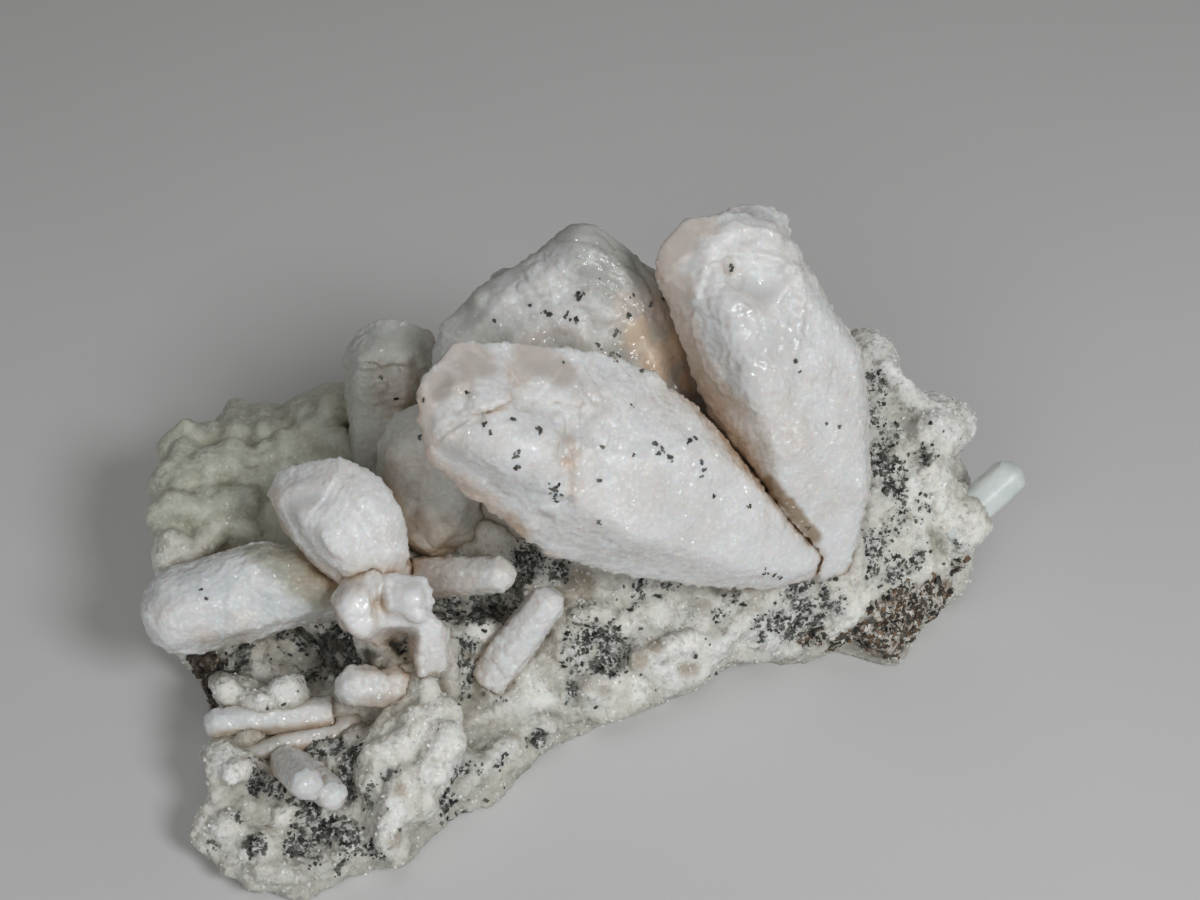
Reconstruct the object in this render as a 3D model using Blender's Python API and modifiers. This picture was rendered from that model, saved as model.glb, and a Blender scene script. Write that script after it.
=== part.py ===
"""Manganocalcite: pale pink and bluish white calcite crystals on a slab of drusy white crust.

+X is the specimen's long direction, +Y runs away from its front edge and +Z is up.
The origin lies on the flat trimmed underside, under the middle of the slab.
Lengths in the constants are millimetres and angles are degrees.
"""

import math

import bmesh
import bpy
from mathutils import Vector, noise

MM = 0.001
OBJECT_NAME = "manganocalcite"

# Clearance between a crystal and what it is set in
GAP = 0.3

# Widest outline of the matrix, as seen from above, and the point that it is star-shaped about
MATRIX_CENTRE = (-10, 18)
MATRIX_OUTLINE = (
    (-62, -42.5), (-54, -46), (-40, -46), (-29, -40), (-22, -36), (-16, -31), (-11, -26),
    (-8, -19.5), (-2, -16), (7, -13.5), (15, -10), (20, -4), (27, -1), (38, 1), (47, 1),
    (54, 2.5), (60, 8), (65, 14), (67.5, 20), (68, 27), (66, 34), (58, 42), (46, 46), (28, 50),
    (0, 51), (-30, 51), (-56, 48), (-68, 41), (-74, 32), (-74.5, 14), (-72.5, 2), (-69, -6),
    (-66, -12), (-63, -20), (-62.5, -31),
)

# The slab's foot draws in by this much, up to this height
UNDERCUT = 4
UNDERCUT_HEIGHT = 9

# Heights of the crust's upper face at chosen places (x, y, z)
MATRIX_HEIGHTS = (
    (-60, -40, 3), (-52, -40, 7), (-42, -42, 4), (-26, -33, 4), (-8, -13, 6), (10, -5, 9),
    (20, 0, 12), (34, 2, 15), (51, 6, 14), (61, 12, 14), (67, 19, 16),
    (-60, -25, 9), (-45, -28, 9), (-35, -31, 7), (-30, -22, 10), (-16, -20, 5), (-15, -12, 9),
    (-48, -9, 10), (-59, -8, 11), (-67, -7, 11), (-72, 5, 22), (-74, 20, 27), (-71, 32, 28),
    (-62, 33, 29), (-45, 34, 30), (-55, 18, 26), (-48, 5, 24), (-38, 8, 25), (-36, -5, 20),
    (-24, -3, 18), (-12, -4, 14), (0, -3, 13), (0, 3, 18), (16, 1, 17), (14, 7, 23),
    (-14, 12, 27), (0, 12, 30), (14, 14, 31), (0, 28, 38), (20, 28, 41), (-20, 26, 34),
    (30, 14, 29), (41, 8, 26), (36, 6, 23), (28, 4, 21), (50, 11, 20), (61, 15, 18), (50, 21, 31),
    (59, 26, 30), (63, 21, 23), (46, 36, 44), (57, 33, 34), (66, 27, 25), (-58, 44, 20),
    (-30, 46, 25), (0, 46, 33), (30, 45, 37), (50, 42, 33),
)

# Sphere that becomes the slab: columns round it and rings from its middle to its rim
MATRIX_COLUMNS = 160
MATRIX_RINGS = 60
RIM_POWER = 14

# The slab is made this much deeper and trimmed flat at the underside
TRIM_DEPTH = 4

# Rounded lumps of crust fused to the slab (x, y, z, radius)
BACK_RIDGE_LUMPS = (
    (-71, 29, 25, 4.5), (-67, 31, 26, 4.0), (-61, 31, 26, 4.5), (-56, 31, 26, 4.0),
    (-51, 31, 26.5, 4.5), (-46, 32, 27, 4.5), (-71, 21, 25, 4.5), (-65, 23, 26, 5.0),
    (-58, 24, 26, 4.5), (-52, 25, 26, 5.0), (-46, 26, 26, 4.0), (-70, 12, 24, 4.0),
    (-63, 14, 24, 5.0), (-57, 17, 24.5, 4.5), (-69, 5, 22, 4.0), (-41, 34, 29, 4.0),
    (-62, 40, 17, 7.0), (-48, 41, 19, 8.5), (-32, 42, 22, 7.0), (-14, 43, 26, 9.0),
)
MIDDLE_LUMPS = (
    (-26, 7, 23, 4.0), (-22, 12, 28, 5.0), (-18, 7, 26, 4.0), (-14, 5, 21, 3.5),
    (-19, -4, 16, 3.0), (-13, -10, 8, 3.0), (-9, -15, 6, 3.5), (-3, -10, 7, 3.5),
    (6, -8, 8, 3.0), (10, -5, 11, 4.0), (16, -4, 12, 3.5), (22, 1, 14, 3.5), (2, -1, 14, 3.0),
    (-4, -3, 12, 3.0),
)
TRUNK_LUMPS = (
    (-29, -12, 19, 3.5), (-27, -17, 15, 3.5), (-25, -21, 13, 4.5), (-25, -26, 12, 5.5),
    (-30, -24, 12, 5.0), (-30, -30, 10, 5.0), (-32, -33, 7, 4.0), (-31, -37, 4, 3.5),
    (-35, -28, 10, 4.0), (-34, -8, 22, 4.0),
)
FRONT_LEFT_LUMPS = (
    (-58, -14, 12, 3.5), (-51, -15, 12, 3.5), (-54, -21, 10, 3.0), (-57, -28, 8, 4.0),
    (-58, -35, 5, 4.0), (-52, -40, 4, 4.0), (-45, -41, 3, 4.0), (-38, -37, 4, 3.5),
    (-26, -30, 5, 3.5), (-21, -25, 5, 3.0),
)
RIGHT_LUMPS = (
    (57, 20, 21, 4.5), (55, 26, 28, 4.5), (61, 19, 15, 3.5), (46, 22, 24, 4.0),
    (52, 16, 18, 3.5), (45, 35, 38, 6.5), (58, 31, 29, 6.0), (27, 42, 32, 8.0), (8, 43, 29, 6.5),
    (40, 42, 28, 8.5),
)

# Relief of the crust: wavelength and height of each layer of noise, and which noise it is
NOISE_SEED = 1795834803
CRUST_RELIEF = ((17.0, 2.2), (7.0, 1.5))
ROCK_RELIEF = (10.0, 3.5)
CRUST_VOXEL = 1.2
MATRIX_TRIANGLES = 8200

# Size of the block that each crystal is cut from
BLOCK = 400

STONE_COLOURS = {
    "crust": ((0.74, 0.73, 0.69), 0.8),
    "pink crystal": ((0.86, 0.75, 0.68), 0.45),
    "white crystal": ((0.80, 0.82, 0.82), 0.5),
    "grey crystal": ((0.62, 0.63, 0.58), 0.6),
    "clear prong": ((0.72, 0.79, 0.76), 0.35),
}


def clear_scene():
    for item in list(bpy.data.objects):
        bpy.data.objects.remove(item, do_unlink=True)


def new_collection(name):
    collection = bpy.data.collections.new(name)
    bpy.context.scene.collection.children.link(collection)
    return collection


def stone_material(name):
    """A plain stone finish, made once for each kind of surface."""
    if name in bpy.data.materials:
        return bpy.data.materials[name]
    colour, roughness = STONE_COLOURS[name]
    material = bpy.data.materials.new(name)
    material.use_nodes = True
    shader = material.node_tree.nodes["Principled BSDF"]
    shader.inputs["Base Color"].default_value = (*colour, 1.0)
    shader.inputs["Roughness"].default_value = roughness
    shader.inputs["Metallic"].default_value = 0.0
    material.diffuse_color = (*colour, 1.0)
    return material


def add_object(name, bm, collection, material_name=None):
    """Turn a bmesh into an object of its own."""
    mesh = bpy.data.meshes.new(name)
    bm.to_mesh(mesh)
    bm.free()
    item = bpy.data.objects.new(name, mesh)
    collection.objects.link(item)
    if material_name:
        mesh.materials.append(stone_material(material_name))
    return item


def apply_modifiers(item):
    """Replace an object's mesh by what its modifiers make of it."""
    graph = bpy.context.evaluated_depsgraph_get()
    mesh = bpy.data.meshes.new_from_object(item.evaluated_get(graph))
    item.modifiers.clear()
    old_mesh = item.data
    item.data = mesh
    bpy.data.meshes.remove(old_mesh)


def combine(item, other, operation):
    """Join another object to this one, or cut it out of this one."""
    modifier = item.modifiers.new("combine", "BOOLEAN")
    modifier.operation = operation
    modifier.solver = "EXACT"
    modifier.object = other
    apply_modifiers(item)


# Crystals: convex bodies cut from a block by planes

class Setting:
    """Where a crystal stands: its middle, and the way its broad face looks."""

    def __init__(self, centre, azimuth, elevation):
        turn = math.radians(azimuth)
        rise = math.radians(elevation)
        self.centre = Vector(centre)
        self.right = Vector((math.cos(turn), math.sin(turn), 0))
        self.facing = Vector((
            math.sin(turn) * math.cos(rise), -math.cos(turn) * math.cos(rise), math.sin(rise)))
        self.up = self.facing.cross(self.right)

    def place(self, across, along, out=0.0):
        return self.centre + self.right * across + self.up * along + self.facing * out

    def lean(self, direction, tilt):
        """Normal that points in the face's plane at tilt 0 and straight out at tilt 90."""
        angle = math.radians(direction)
        slope = math.radians(tilt)
        in_plane = self.right * math.cos(angle) + self.up * math.sin(angle)
        return in_plane * math.cos(slope) + self.facing * math.sin(slope)


def tablet_planes(setting, outline, front, back, faces=()):
    """Planes of a crystal with a sharp outline, bevelled to a broad face on both sides.

    The outline runs clockwise and gives, for the edge that starts at each point, the tilt of
    the bevel in front of it. front and back are the depths of the broad faces, and back also
    has the tilt of its bevels. faces adds planes as (across, along, out, direction, tilt).
    """
    depth_back, tilt_back = back
    planes = [
        (setting.place(0, 0, front), setting.facing),
        (setting.place(0, 0, -depth_back), -setting.facing),
    ]
    for index, (across, along, tilt) in enumerate(outline):
        next_across, next_along, _ = outline[(index + 1) % len(outline)]
        outward = math.degrees(math.atan2(next_across - across, along - next_along))
        edge_point = setting.place((across + next_across) / 2, (along + next_along) / 2)
        planes.append((edge_point, setting.lean(outward, tilt)))
        planes.append((edge_point, setting.lean(outward, -tilt_back)))
    for across, along, out, direction, tilt in faces:
        planes.append((setting.place(across, along, out), setting.lean(direction, tilt)))
    return planes


def prong_planes(root, tip, root_radius, tip_radius, sides=7, flatness=1.0, sink=4.0):
    """Planes of a tapered finger with a blunt three-faced end."""
    root = Vector(root)
    tip = Vector(tip)
    axis = (tip - root).normalized()
    root = root - axis * sink
    side = axis.cross(Vector((0, 0, 1))).normalized()
    rise = side.cross(axis)
    taper = math.atan2(root_radius - tip_radius, (tip - root).length)
    planes = [(root, -axis), (tip, axis)]
    for step in range(sides):
        angle = 2 * math.pi * (step + 0.5) / sides
        outward = side * math.cos(angle) + rise * math.sin(angle)
        radius = root_radius * (flatness + (1 - flatness) * abs(math.cos(angle)))
        planes.append((root + outward * radius, outward * math.cos(taper) + axis * math.sin(taper)))
    for step in range(5):
        angle = 2 * math.pi * (step + 0.2) / 5
        outward = side * math.cos(angle) + rise * math.sin(angle)
        planes.append((tip + outward * tip_radius * 0.45, (outward + axis * 0.9).normalized()))
    return planes


def convex_body(planes, grow=0.0):
    """Cut a block by planes, each moved outward by grow."""
    centre = sum((point for point, _ in planes), Vector()) / len(planes)
    bm = bmesh.new()
    bmesh.ops.create_cube(bm, size=BLOCK * MM)
    bmesh.ops.translate(bm, vec=centre * MM, verts=bm.verts)
    for point, normal in planes:
        everything = bm.verts[:] + bm.edges[:] + bm.faces[:]
        cut = bmesh.ops.bisect_plane(
            bm, geom=everything, dist=1e-7, plane_co=(point + normal * grow) * MM,
            plane_no=normal, clear_outer=True)
        rim = [part for part in cut["geom_cut"] if isinstance(part, bmesh.types.BMEdge)]
        if rim:
            bmesh.ops.contextual_create(bm, geom=rim)
    bmesh.ops.remove_doubles(bm, verts=bm.verts, dist=1e-6)
    bmesh.ops.recalc_face_normals(bm, faces=bm.faces)
    return bm


def make_crystal(name, bodies, finish, parts, cutters):
    """Join a crystal's convex bodies, and make the slightly larger cutters of its pocket."""
    crystal = add_object(name, convex_body(bodies[0]), parts, finish)
    for planes in bodies[1:]:
        growth = add_object(name + "_growth", convex_body(planes), cutters)
        combine(crystal, growth, "UNION")
        bpy.data.objects.remove(growth, do_unlink=True)
    pocket = []
    for index, planes in enumerate(bodies):
        cutter = add_object(f"{name}_pocket_{index}", convex_body(planes, GAP), cutters)
        cutter.hide_render = True
        cutter.display_type = "WIRE"
        pocket.append(cutter)
    return crystal, pocket


def front_crystal():
    """The largest crystal: a pink stepped head at the left, tapering to its root at the right."""
    setting = Setting((3.0, 2.2, 45.2), 26, 28)
    outline = (
        (-27, 22, 56), (-20.5, 26.5, 56), (-11, 23.5, 56), (1, 18.5, 48), (8, 13.5, 25),
        (13.5, 7, 22), (21, -5, 25), (27.5, -16.5, 30), (31.5, -24.5, 40), (29.5, -27.5, 40),
        (22.5, -28, 42), (9, -22.5, 42), (-6.5, -14.5, 42), (-14.5, -9, 42), (-24, 3.5, 42),
        (-28.5, 10, 30), (-29, 17, 35),
    )
    body = tablet_planes(setting, outline, 9.5, (13, 38), faces=(
        (0, -6, 8.8, -45, 80), (8, 2, 8.8, 30, 78), (-20, 8, 8.0, 190, 72)))
    head = tablet_planes(
        setting,
        ((-27.8, 19, 30), (-26.5, 21.5, 42), (-20.3, 25.7, 42), (-11.7, 23, 20), (-14.5, 16, 12),
         (-25, 15.5, 20)),
        11, (6, 45))
    shoulder = tablet_planes(
        setting,
        ((-12.2, 23, 44), (0.2, 18, 30), (4, 13.5, 20), (-6, 11, 15), (-13.5, 14, 25)),
        10.6, (6, 45))
    return [body, head, shoulder]


def back_crystal():
    """The domed crystal behind, built of growth layers that step back to its rim."""
    setting = Setting((-3.1, 24.6, 56.6), 5, 22)
    rim = (
        (-23.5, -3, 35), (-22, 0.5, 35), (-17, 5, 38), (-13.7, 8, 38), (-6, 11.5, 35),
        (0.5, 15, 38), (7.5, 11.3, 35), (13, 7, 30), (17.5, -3.5, 28), (19.5, -15, 28),
        (18, -30, 25), (2, -38, 25), (-17, -36, 25), (-25, -16, 30),
    )
    layers = []
    for inset, drop, front, back in ((1.0, 0, 4.5, 9), (0.86, -1.5, 7.0, 11.5), (0.68, -3.5, 9.5, 13)):
        outline = [(x * inset, y * inset + drop * 1.0, tilt) for x, y, tilt in rim]
        layers.append(tablet_planes(setting, outline, front, (back, 40)))
    return layers


def right_crystal():
    """The tall crystal at the right: a pink left flank, a recessed crown and a twin behind it."""
    setting = Setting((26.4, 16.0, 51.5), 12, 22)
    outline = (
        (-17, 19, 40), (-14, 23, 45), (-10, 25.5, 45), (-1, 24, 40), (4, 21.5, 25), (8.5, 14.5, 25),
        (15, 3.5, 28), (16, -5.5, 28), (16, -20, 25), (12, -35, 25), (6, -36, 25), (-5, -17, 25),
        (-12, 1, 34), (-14.5, 10, 34),
    )
    body = tablet_planes(
        setting, outline, 10, (11, 38), faces=((-2, 4, 9.5, 12, 68), (0, -12, 9, -60, 74)))
    crown = tablet_planes(
        setting,
        ((-17, 21, 45), (-16, 23.5, 45), (-12, 27, 35), (-2.5, 27, 30), (2.7, 24.7, 30),
         (3, 19, 40), (-3, 18, 60), (-10, 15, 60), (-15, 16, 40)),
        5.5, (9, 40))
    twin = tablet_planes(
        Setting((24, 27, 70), 20, 30),
        ((-6, 3, 35), (-3, 6.5, 35), (2, 6.5, 35), (5.5, 3.5, 35), (6, -6, 30), (-5, -8, 30)),
        4, (5, 40))
    return [body, crown, twin]


def back_left_crystal():
    """A blocky crystal at the back left, its upper end rounded."""
    setting = Setting((-34.6, 31.6, 45.0), -10, 30)
    outline = (
        (-7.5, -2, 35), (-6, 2.5, 40), (-2.5, 5, 40), (2, 5.5, 40), (7, 3.5, 35), (8.5, -1, 30),
        (7, -12, 25), (4, -26, 25), (-5, -25, 25), (-7, -9, 30),
    )
    return [tablet_planes(setting, outline, 5.5, (7, 40))]


def middle_left_crystal():
    """A worn crystal between the ridge and the front crystal's head."""
    setting = Setting((-27.3, 12.1, 33.8), -10, 30)
    outline = (
        (-9.5, 5, 35), (-6.5, 10.5, 35), (-1, 13.5, 35), (6, 11, 35), (10, 3, 30), (9, -9, 30),
        (2, -14, 30), (-5, -11, 30), (-9, -3, 30),
    )
    return [tablet_planes(setting, outline, 6, (9, 40))]


def left_upright_crystal():
    """An egg-like crystal that leans left, built of layers that step in to its middle."""
    setting = Setting((-40.1, 1.0, 37.9), -15, 30)
    outline = (
        (-12.5, 0.5, 35), (-10.5, 4.5, 40), (-7, 6.5, 40), (0, 8.5, 40), (4, 7.5, 38), (7.5, 5, 35),
        (10, 1.5, 32), (12, -4, 30), (11.5, -10, 30), (6, -14, 28), (-3, -10, 32), (-9, -5, 38),
    )
    layers = []
    for inset, front in ((1.0, 4), (0.84, 6.2), (0.66, 8)):
        layer = [(x * inset, y * inset - 2 * (1 - inset), tilt) for x, y, tilt in outline]
        layers.append(tablet_planes(setting, layer, front, (7.5 * inset, 38)))
    stalk = prong_planes((-34, 1.5, 20), (-37, 1, 33), 5.0, 4.5, sides=6, sink=2)
    return layers + [stalk]


def left_small_crystal():
    """Two small lobes in front of the upright crystal, on a short stalk."""
    setting = Setting((-33.5, -10.8, 29.2), -5, 35)
    left_lobe = tablet_planes(
        setting,
        ((-8, 0.5, 40), (-5.5, 4.5, 40), (-1, 5.5, 40), (2, 3, 45), (1.5, -4, 35), (-1.5, -6.5, 35),
         (-6, -4.5, 35)),
        4.5, (5, 38))
    right_lobe = tablet_planes(
        setting,
        ((-1, 3, 40), (2, 5.5, 35), (7.5, 5, 35), (8.5, 1, 35), (6, -3, 35), (0, -4, 40)),
        3.5, (5, 38))
    stalk = prong_planes(
        setting.place(3, -9, -3), setting.place(2, 0, 0), 3.4, 3.0, sides=6, sink=1)
    return [left_lobe, right_lobe, stalk]


def left_lying_crystal():
    """The blunt crystal that points left over the dark pocket."""
    root = (-40, -1, 25)
    shoulder = (-58, -4, 24)
    tip = (-71.5, -7.5, 22)
    return [
        prong_planes(root, shoulder, 5.5, 6.5, sides=8, sink=3),
        prong_planes((-51, -2.5, 24.5), tip, 7.2, 6.2, sides=8, sink=1),
    ]


def crystals():
    """Every crystal's name, bodies and finish, the one that keeps its shape first."""
    listed = [
        ("crystal_front", front_crystal(), "pink crystal"),
        ("crystal_right", right_crystal(), "pink crystal"),
        ("crystal_back", back_crystal(), "pink crystal"),
        ("crystal_left_small", left_small_crystal(), "white crystal"),
        ("crystal_left_upright", left_upright_crystal(), "white crystal"),
        ("crystal_left_lying", left_lying_crystal(), "white crystal"),
        ("crystal_middle_left", middle_left_crystal(), "grey crystal"),
        ("crystal_back_left", back_left_crystal(), "grey crystal"),
    ]
    prongs = (
        ("prong_horizontal", (-26, 0, 24), (-13.5, -5.5, 30.5), 3.4, 2.6),
        ("prong_upright", (-15.5, -9, 14), (-7, -4.5, 25.5), 3.2, 2.8),
        ("prong_stub", (-32, -16, 16), (-40, -19, 20), 3.3, 3.0),
        ("prong_left_long", (-46, -17.5, 11), (-61, -21, 13), 2.6, 2.2),
        ("prong_left_low", (-41, -19, 9), (-60, -27, 10.5), 2.2, 1.6),
        ("prong_left_short", (-49, -22, 8.5), (-60.5, -24, 8.5), 2.2, 2.0),
        ("prong_right", (61, 18, 19), (71, 24.5, 25), 3.2, 3.0),
    )
    for name, root, tip, root_radius, tip_radius in prongs:
        finish = "clear prong" if name == "prong_right" else "white crystal"
        listed.append((name, [prong_planes(root, tip, root_radius, tip_radius)], finish))
    pair = [
        prong_planes((-48, -26, 10), (-42, -37.5, 19.5), 2.6, 2.3),
        prong_planes((-45, -27, 9), (-38.5, -37, 16), 2.5, 2.2),
    ]
    listed.append(("prong_pair", pair, "white crystal"))
    return listed


# Matrix: the slab of crust

def rim_distance(angle):
    """Distance from the slab's middle to its outline in one direction."""
    centre = Vector(MATRIX_CENTRE)
    direction = Vector((math.cos(angle), math.sin(angle)))
    count = len(MATRIX_OUTLINE)
    for index in range(count):
        start = Vector(MATRIX_OUTLINE[index]) - centre
        end = Vector(MATRIX_OUTLINE[(index + 1) % count]) - centre
        from_start = direction.cross(start)
        from_end = direction.cross(end)
        crosses = (from_start <= 0 < from_end) or (from_end <= 0 < from_start)
        if crosses:
            share = from_start / (from_start - from_end)
            hit = start.lerp(end, share)
            if hit.dot(direction) > 0:
                return hit.length
    raise ValueError("the outline does not surround its middle")


def crust_height(x, y):
    """Height of the crust at a place: the near chosen heights, weighted by distance."""
    total = 0.0
    weights = 0.0
    for spot_x, spot_y, spot_z in MATRIX_HEIGHTS:
        distance = (x - spot_x) ** 2 + (y - spot_y) ** 2
        weight = 1.0 / (distance + 4.0) ** 2
        total += weight * spot_z
        weights += weight
    return total / weights


def crust_shift(point, normal):
    """How far relief moves a point: soft on the crust, stronger on the broken rock of the sides."""
    shift = Vector()
    for layer, (wavelength, height) in enumerate(CRUST_RELIEF):
        shift += noise.noise_vector(point / wavelength + Vector((layer * 7.3, 2.1, 4.7))) * height
    wavelength, height = ROCK_RELIEF
    steepness = min(1.0, max(0.0, 0.6 - normal.z) * 2)
    shift += noise.noise_vector(point / wavelength) * height * steepness
    return shift


def slab_bmesh():
    """A sphere spread out to the slab's outline and heights."""
    bm = bmesh.new()
    bmesh.ops.create_uvsphere(
        bm, u_segments=MATRIX_COLUMNS, v_segments=2 * MATRIX_RINGS, radius=1.0)
    for vertex in bm.verts:
        flat = Vector((vertex.co.x, vertex.co.y))
        angle = math.atan2(flat.y, flat.x)
        polar = math.atan2(flat.length, abs(vertex.co.z))
        reach = math.sin(polar)
        radius = rim_distance(angle) * reach if flat.length > 1e-6 else 0.0
        x = MATRIX_CENTRE[0] + radius * math.cos(angle)
        y = MATRIX_CENTRE[1] + radius * math.sin(angle)
        fullness = math.sqrt(max(0.0, 1 - reach ** RIM_POWER)) if vertex.co.z > 0 else 0.0
        height = (crust_height(x, y) + TRIM_DEPTH) * fullness - TRIM_DEPTH
        draw_in = UNDERCUT * (1 - min(1.0, max(0.0, height) / UNDERCUT_HEIGHT)) * reach
        inward = Vector((math.cos(angle), math.sin(angle))) * draw_in
        vertex.co = (x - inward.x, y - inward.y, height)
    bmesh.ops.remove_doubles(bm, verts=bm.verts, dist=1e-5)
    return bm


def add_lumps(bm):
    """Rounded lumps of crust, a little flattened and each turned its own way."""
    groups = BACK_RIDGE_LUMPS + MIDDLE_LUMPS + TRUNK_LUMPS + FRONT_LEFT_LUMPS + RIGHT_LUMPS
    for x, y, z, radius in groups:
        lump = bmesh.ops.create_icosphere(bm, subdivisions=3, radius=radius)
        for vertex in lump["verts"]:
            place = vertex.co + Vector((x, y, z))
            vertex.co = place + noise.noise_vector(place / 4.0) * 0.9


def remesh_skin(item):
    """Rebuild an object as one even skin that does not cross itself."""
    remesh = item.modifiers.new("skin", "REMESH")
    remesh.mode = "VOXEL"
    remesh.voxel_size = CRUST_VOXEL * MM
    apply_modifiers(item)


def make_matrix(parts):
    """The slab with its lumps, remeshed to one skin and trimmed flat underneath."""
    bm = slab_bmesh()
    add_lumps(bm)
    bmesh.ops.scale(bm, vec=(MM, MM, MM), verts=bm.verts)
    matrix = add_object("matrix", bm, parts, "crust")

    remesh_skin(matrix)
    normals = [vertex.normal.copy() for vertex in matrix.data.vertices]
    for vertex, normal in zip(matrix.data.vertices, normals):
        place = vertex.co / MM
        vertex.co = (place + crust_shift(place, normal)) * MM
    remesh_skin(matrix)

    decimate = matrix.modifiers.new("fewer faces", "DECIMATE")
    decimate.ratio = MATRIX_TRIANGLES / (2 * len(matrix.data.polygons))
    apply_modifiers(matrix)
    return matrix


def trim_underside(item):
    """Cut the slab off flat at the underside."""
    bm = bmesh.new()
    bm.from_mesh(item.data)
    cut = bmesh.ops.bisect_plane(
        bm, geom=bm.verts[:] + bm.edges[:] + bm.faces[:], dist=1e-7, plane_co=(0, 0, 0),
        plane_no=(0, 0, -1), clear_outer=True)
    rim = [part for part in cut["geom_cut"] if isinstance(part, bmesh.types.BMEdge)]
    bmesh.ops.holes_fill(bm, edges=rim)
    bmesh.ops.triangulate(bm, faces=bm.faces)
    bmesh.ops.recalc_face_normals(bm, faces=bm.faces)
    bm.to_mesh(item.data)
    bm.free()


def keep_largest_piece(item):
    """Drop crumbs that a cut has left loose."""
    bm = bmesh.new()
    bm.from_mesh(item.data)
    unseen = set(bm.verts)
    pieces = []
    while unseen:
        piece = set()
        queue = [unseen.pop()]
        while queue:
            vertex = queue.pop()
            piece.add(vertex)
            for edge in vertex.link_edges:
                other = edge.other_vert(vertex)
                if other in unseen:
                    unseen.remove(other)
                    queue.append(other)
        pieces.append(piece)
    pieces.sort(key=len)
    for piece in pieces[:-1]:
        bmesh.ops.delete(bm, geom=list(piece), context="VERTS")
    bm.to_mesh(item.data)
    bm.free()


def boxes_meet(item, other):
    """Whether the boxes round two objects touch."""
    for axis in range(3):
        own = [vertex.co[axis] for vertex in item.data.vertices]
        theirs = [vertex.co[axis] for vertex in other.data.vertices]
        if max(own) < min(theirs) or max(theirs) < min(own):
            return False
    return True


def main():
    clear_scene()
    noise.seed_set(NOISE_SEED)
    parts = new_collection(OBJECT_NAME)
    cutters = new_collection(OBJECT_NAME + "_cutters")
    matrix = make_matrix(parts)
    trim_underside(matrix)

    finished_pockets = []
    for name, bodies, finish in crystals():
        crystal, pocket = make_crystal(name, bodies, finish, parts, cutters)
        for cutter in finished_pockets:
            if boxes_meet(crystal, cutter):
                combine(crystal, cutter, "DIFFERENCE")
        keep_largest_piece(crystal)
        finished_pockets.extend(pocket)
    for cutter in finished_pockets:
        if boxes_meet(matrix, cutter):
            combine(matrix, cutter, "DIFFERENCE")
    keep_largest_piece(matrix)


main()
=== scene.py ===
"""Looks of a manganocalcite specimen: sugary pale pink and white calcite on a drusy crust.

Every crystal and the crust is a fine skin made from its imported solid. Lengths in the constants
are millimetres in the model's own frame, unless a comment says that they are pixels of the
photograph, whose frame is 1200 by 900.
"""
import math

import bmesh
import bpy
import numpy as np
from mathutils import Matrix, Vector
from mathutils.bvhtree import BVHTree


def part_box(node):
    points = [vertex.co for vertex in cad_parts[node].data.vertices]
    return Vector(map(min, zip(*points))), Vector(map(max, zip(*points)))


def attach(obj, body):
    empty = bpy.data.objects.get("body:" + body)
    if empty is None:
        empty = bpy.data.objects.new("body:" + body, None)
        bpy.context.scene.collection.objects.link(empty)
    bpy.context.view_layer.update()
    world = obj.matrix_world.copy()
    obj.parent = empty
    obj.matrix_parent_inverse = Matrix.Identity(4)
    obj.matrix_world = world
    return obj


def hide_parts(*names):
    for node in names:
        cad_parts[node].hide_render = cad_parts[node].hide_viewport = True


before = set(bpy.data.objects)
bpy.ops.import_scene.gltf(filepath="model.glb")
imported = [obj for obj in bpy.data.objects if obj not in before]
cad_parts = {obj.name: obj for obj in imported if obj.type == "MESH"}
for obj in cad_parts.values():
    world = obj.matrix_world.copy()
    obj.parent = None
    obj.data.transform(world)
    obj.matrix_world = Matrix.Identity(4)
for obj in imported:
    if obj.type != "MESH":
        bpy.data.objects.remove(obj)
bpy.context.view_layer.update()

MM = 0.001

# Camera
FRAME_WIDTH, FRAME_HEIGHT = 1200, 900
CAMERA_TARGET = (0.0, 28.0, 26.0)
CAMERA_DISTANCE = 285.0
CAMERA_ELEVATION = 42.0
LENS, SENSOR = 50.0, 36.0
FOCAL = FRAME_WIDTH * LENS / SENSOR

# Edge length of the skins' meshes
CRUST_VOXEL = 0.65
CRYSTAL_VOXEL = 0.42
SMALL_VOXEL = 0.3

# Colours, as the share of each of red, green and blue light that comes back
SNOW = (0.86, 0.87, 0.875)
ICE = (0.78, 0.82, 0.835)
CREAM = (0.82, 0.81, 0.775)
PEACH = (0.78, 0.705, 0.65)
# Amber: painted glow of light through thin edges and undersides, and painted warm shade in grooves
AMBER_GLOW = (0.62, 0.44, 0.31)
GREY = (0.58, 0.60, 0.575)
SAGE = (0.50, 0.515, 0.44)
OLIVE = (0.40, 0.37, 0.25)
BROWN = (0.36, 0.27, 0.18)
# Warm: painted glow of light in shaded calcite
WARM = (0.86, 0.73, 0.58)
BRIGHT = (0.91, 0.912, 0.905)
LOW_RIM = (0.46, 0.45, 0.40)
CLEAR_GRAIN = (0.56, 0.53, 0.49)
MILKY = (0.82, 0.812, 0.80)
SHADOW = (0.05, 0.041, 0.028)

# Painted shade: the share of light that a closed-in place loses, in red, green and blue
CRYSTAL_SHADE = (0.26, 0.42, 0.56)
CRUST_SHADE = (0.52, 0.57, 0.64)

# Factors on the red, green and blue of the crust's colours
CRUST_CAST = (1.04, 1.035, 1.0)

# Lights: name, place in metres, size, power and colour
COOL, WARMER = (0.97, 0.985, 1.0), (1.0, 0.985, 0.96)
LIGHTS = (
    ("key", (0.40, -0.42, 0.52), 0.24, 2.7, COOL),
    ("top", (-0.05, -0.10, 0.75), 0.50, 0.45, COOL),
    ("front", (-0.22, -0.58, 0.42), 0.40, 1.0, COOL),
    ("back", (0.10, 0.62, 0.42), 0.40, 0.18, WARMER),
)
LIGHT_AIM = (0.0, 0.02, 0.03)
WORLD_COLOUR, WORLD_STRENGTH = (1.0, 0.95, 0.88, 1.0), 0.10
FLOOR_HALF = 2.0

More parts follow.
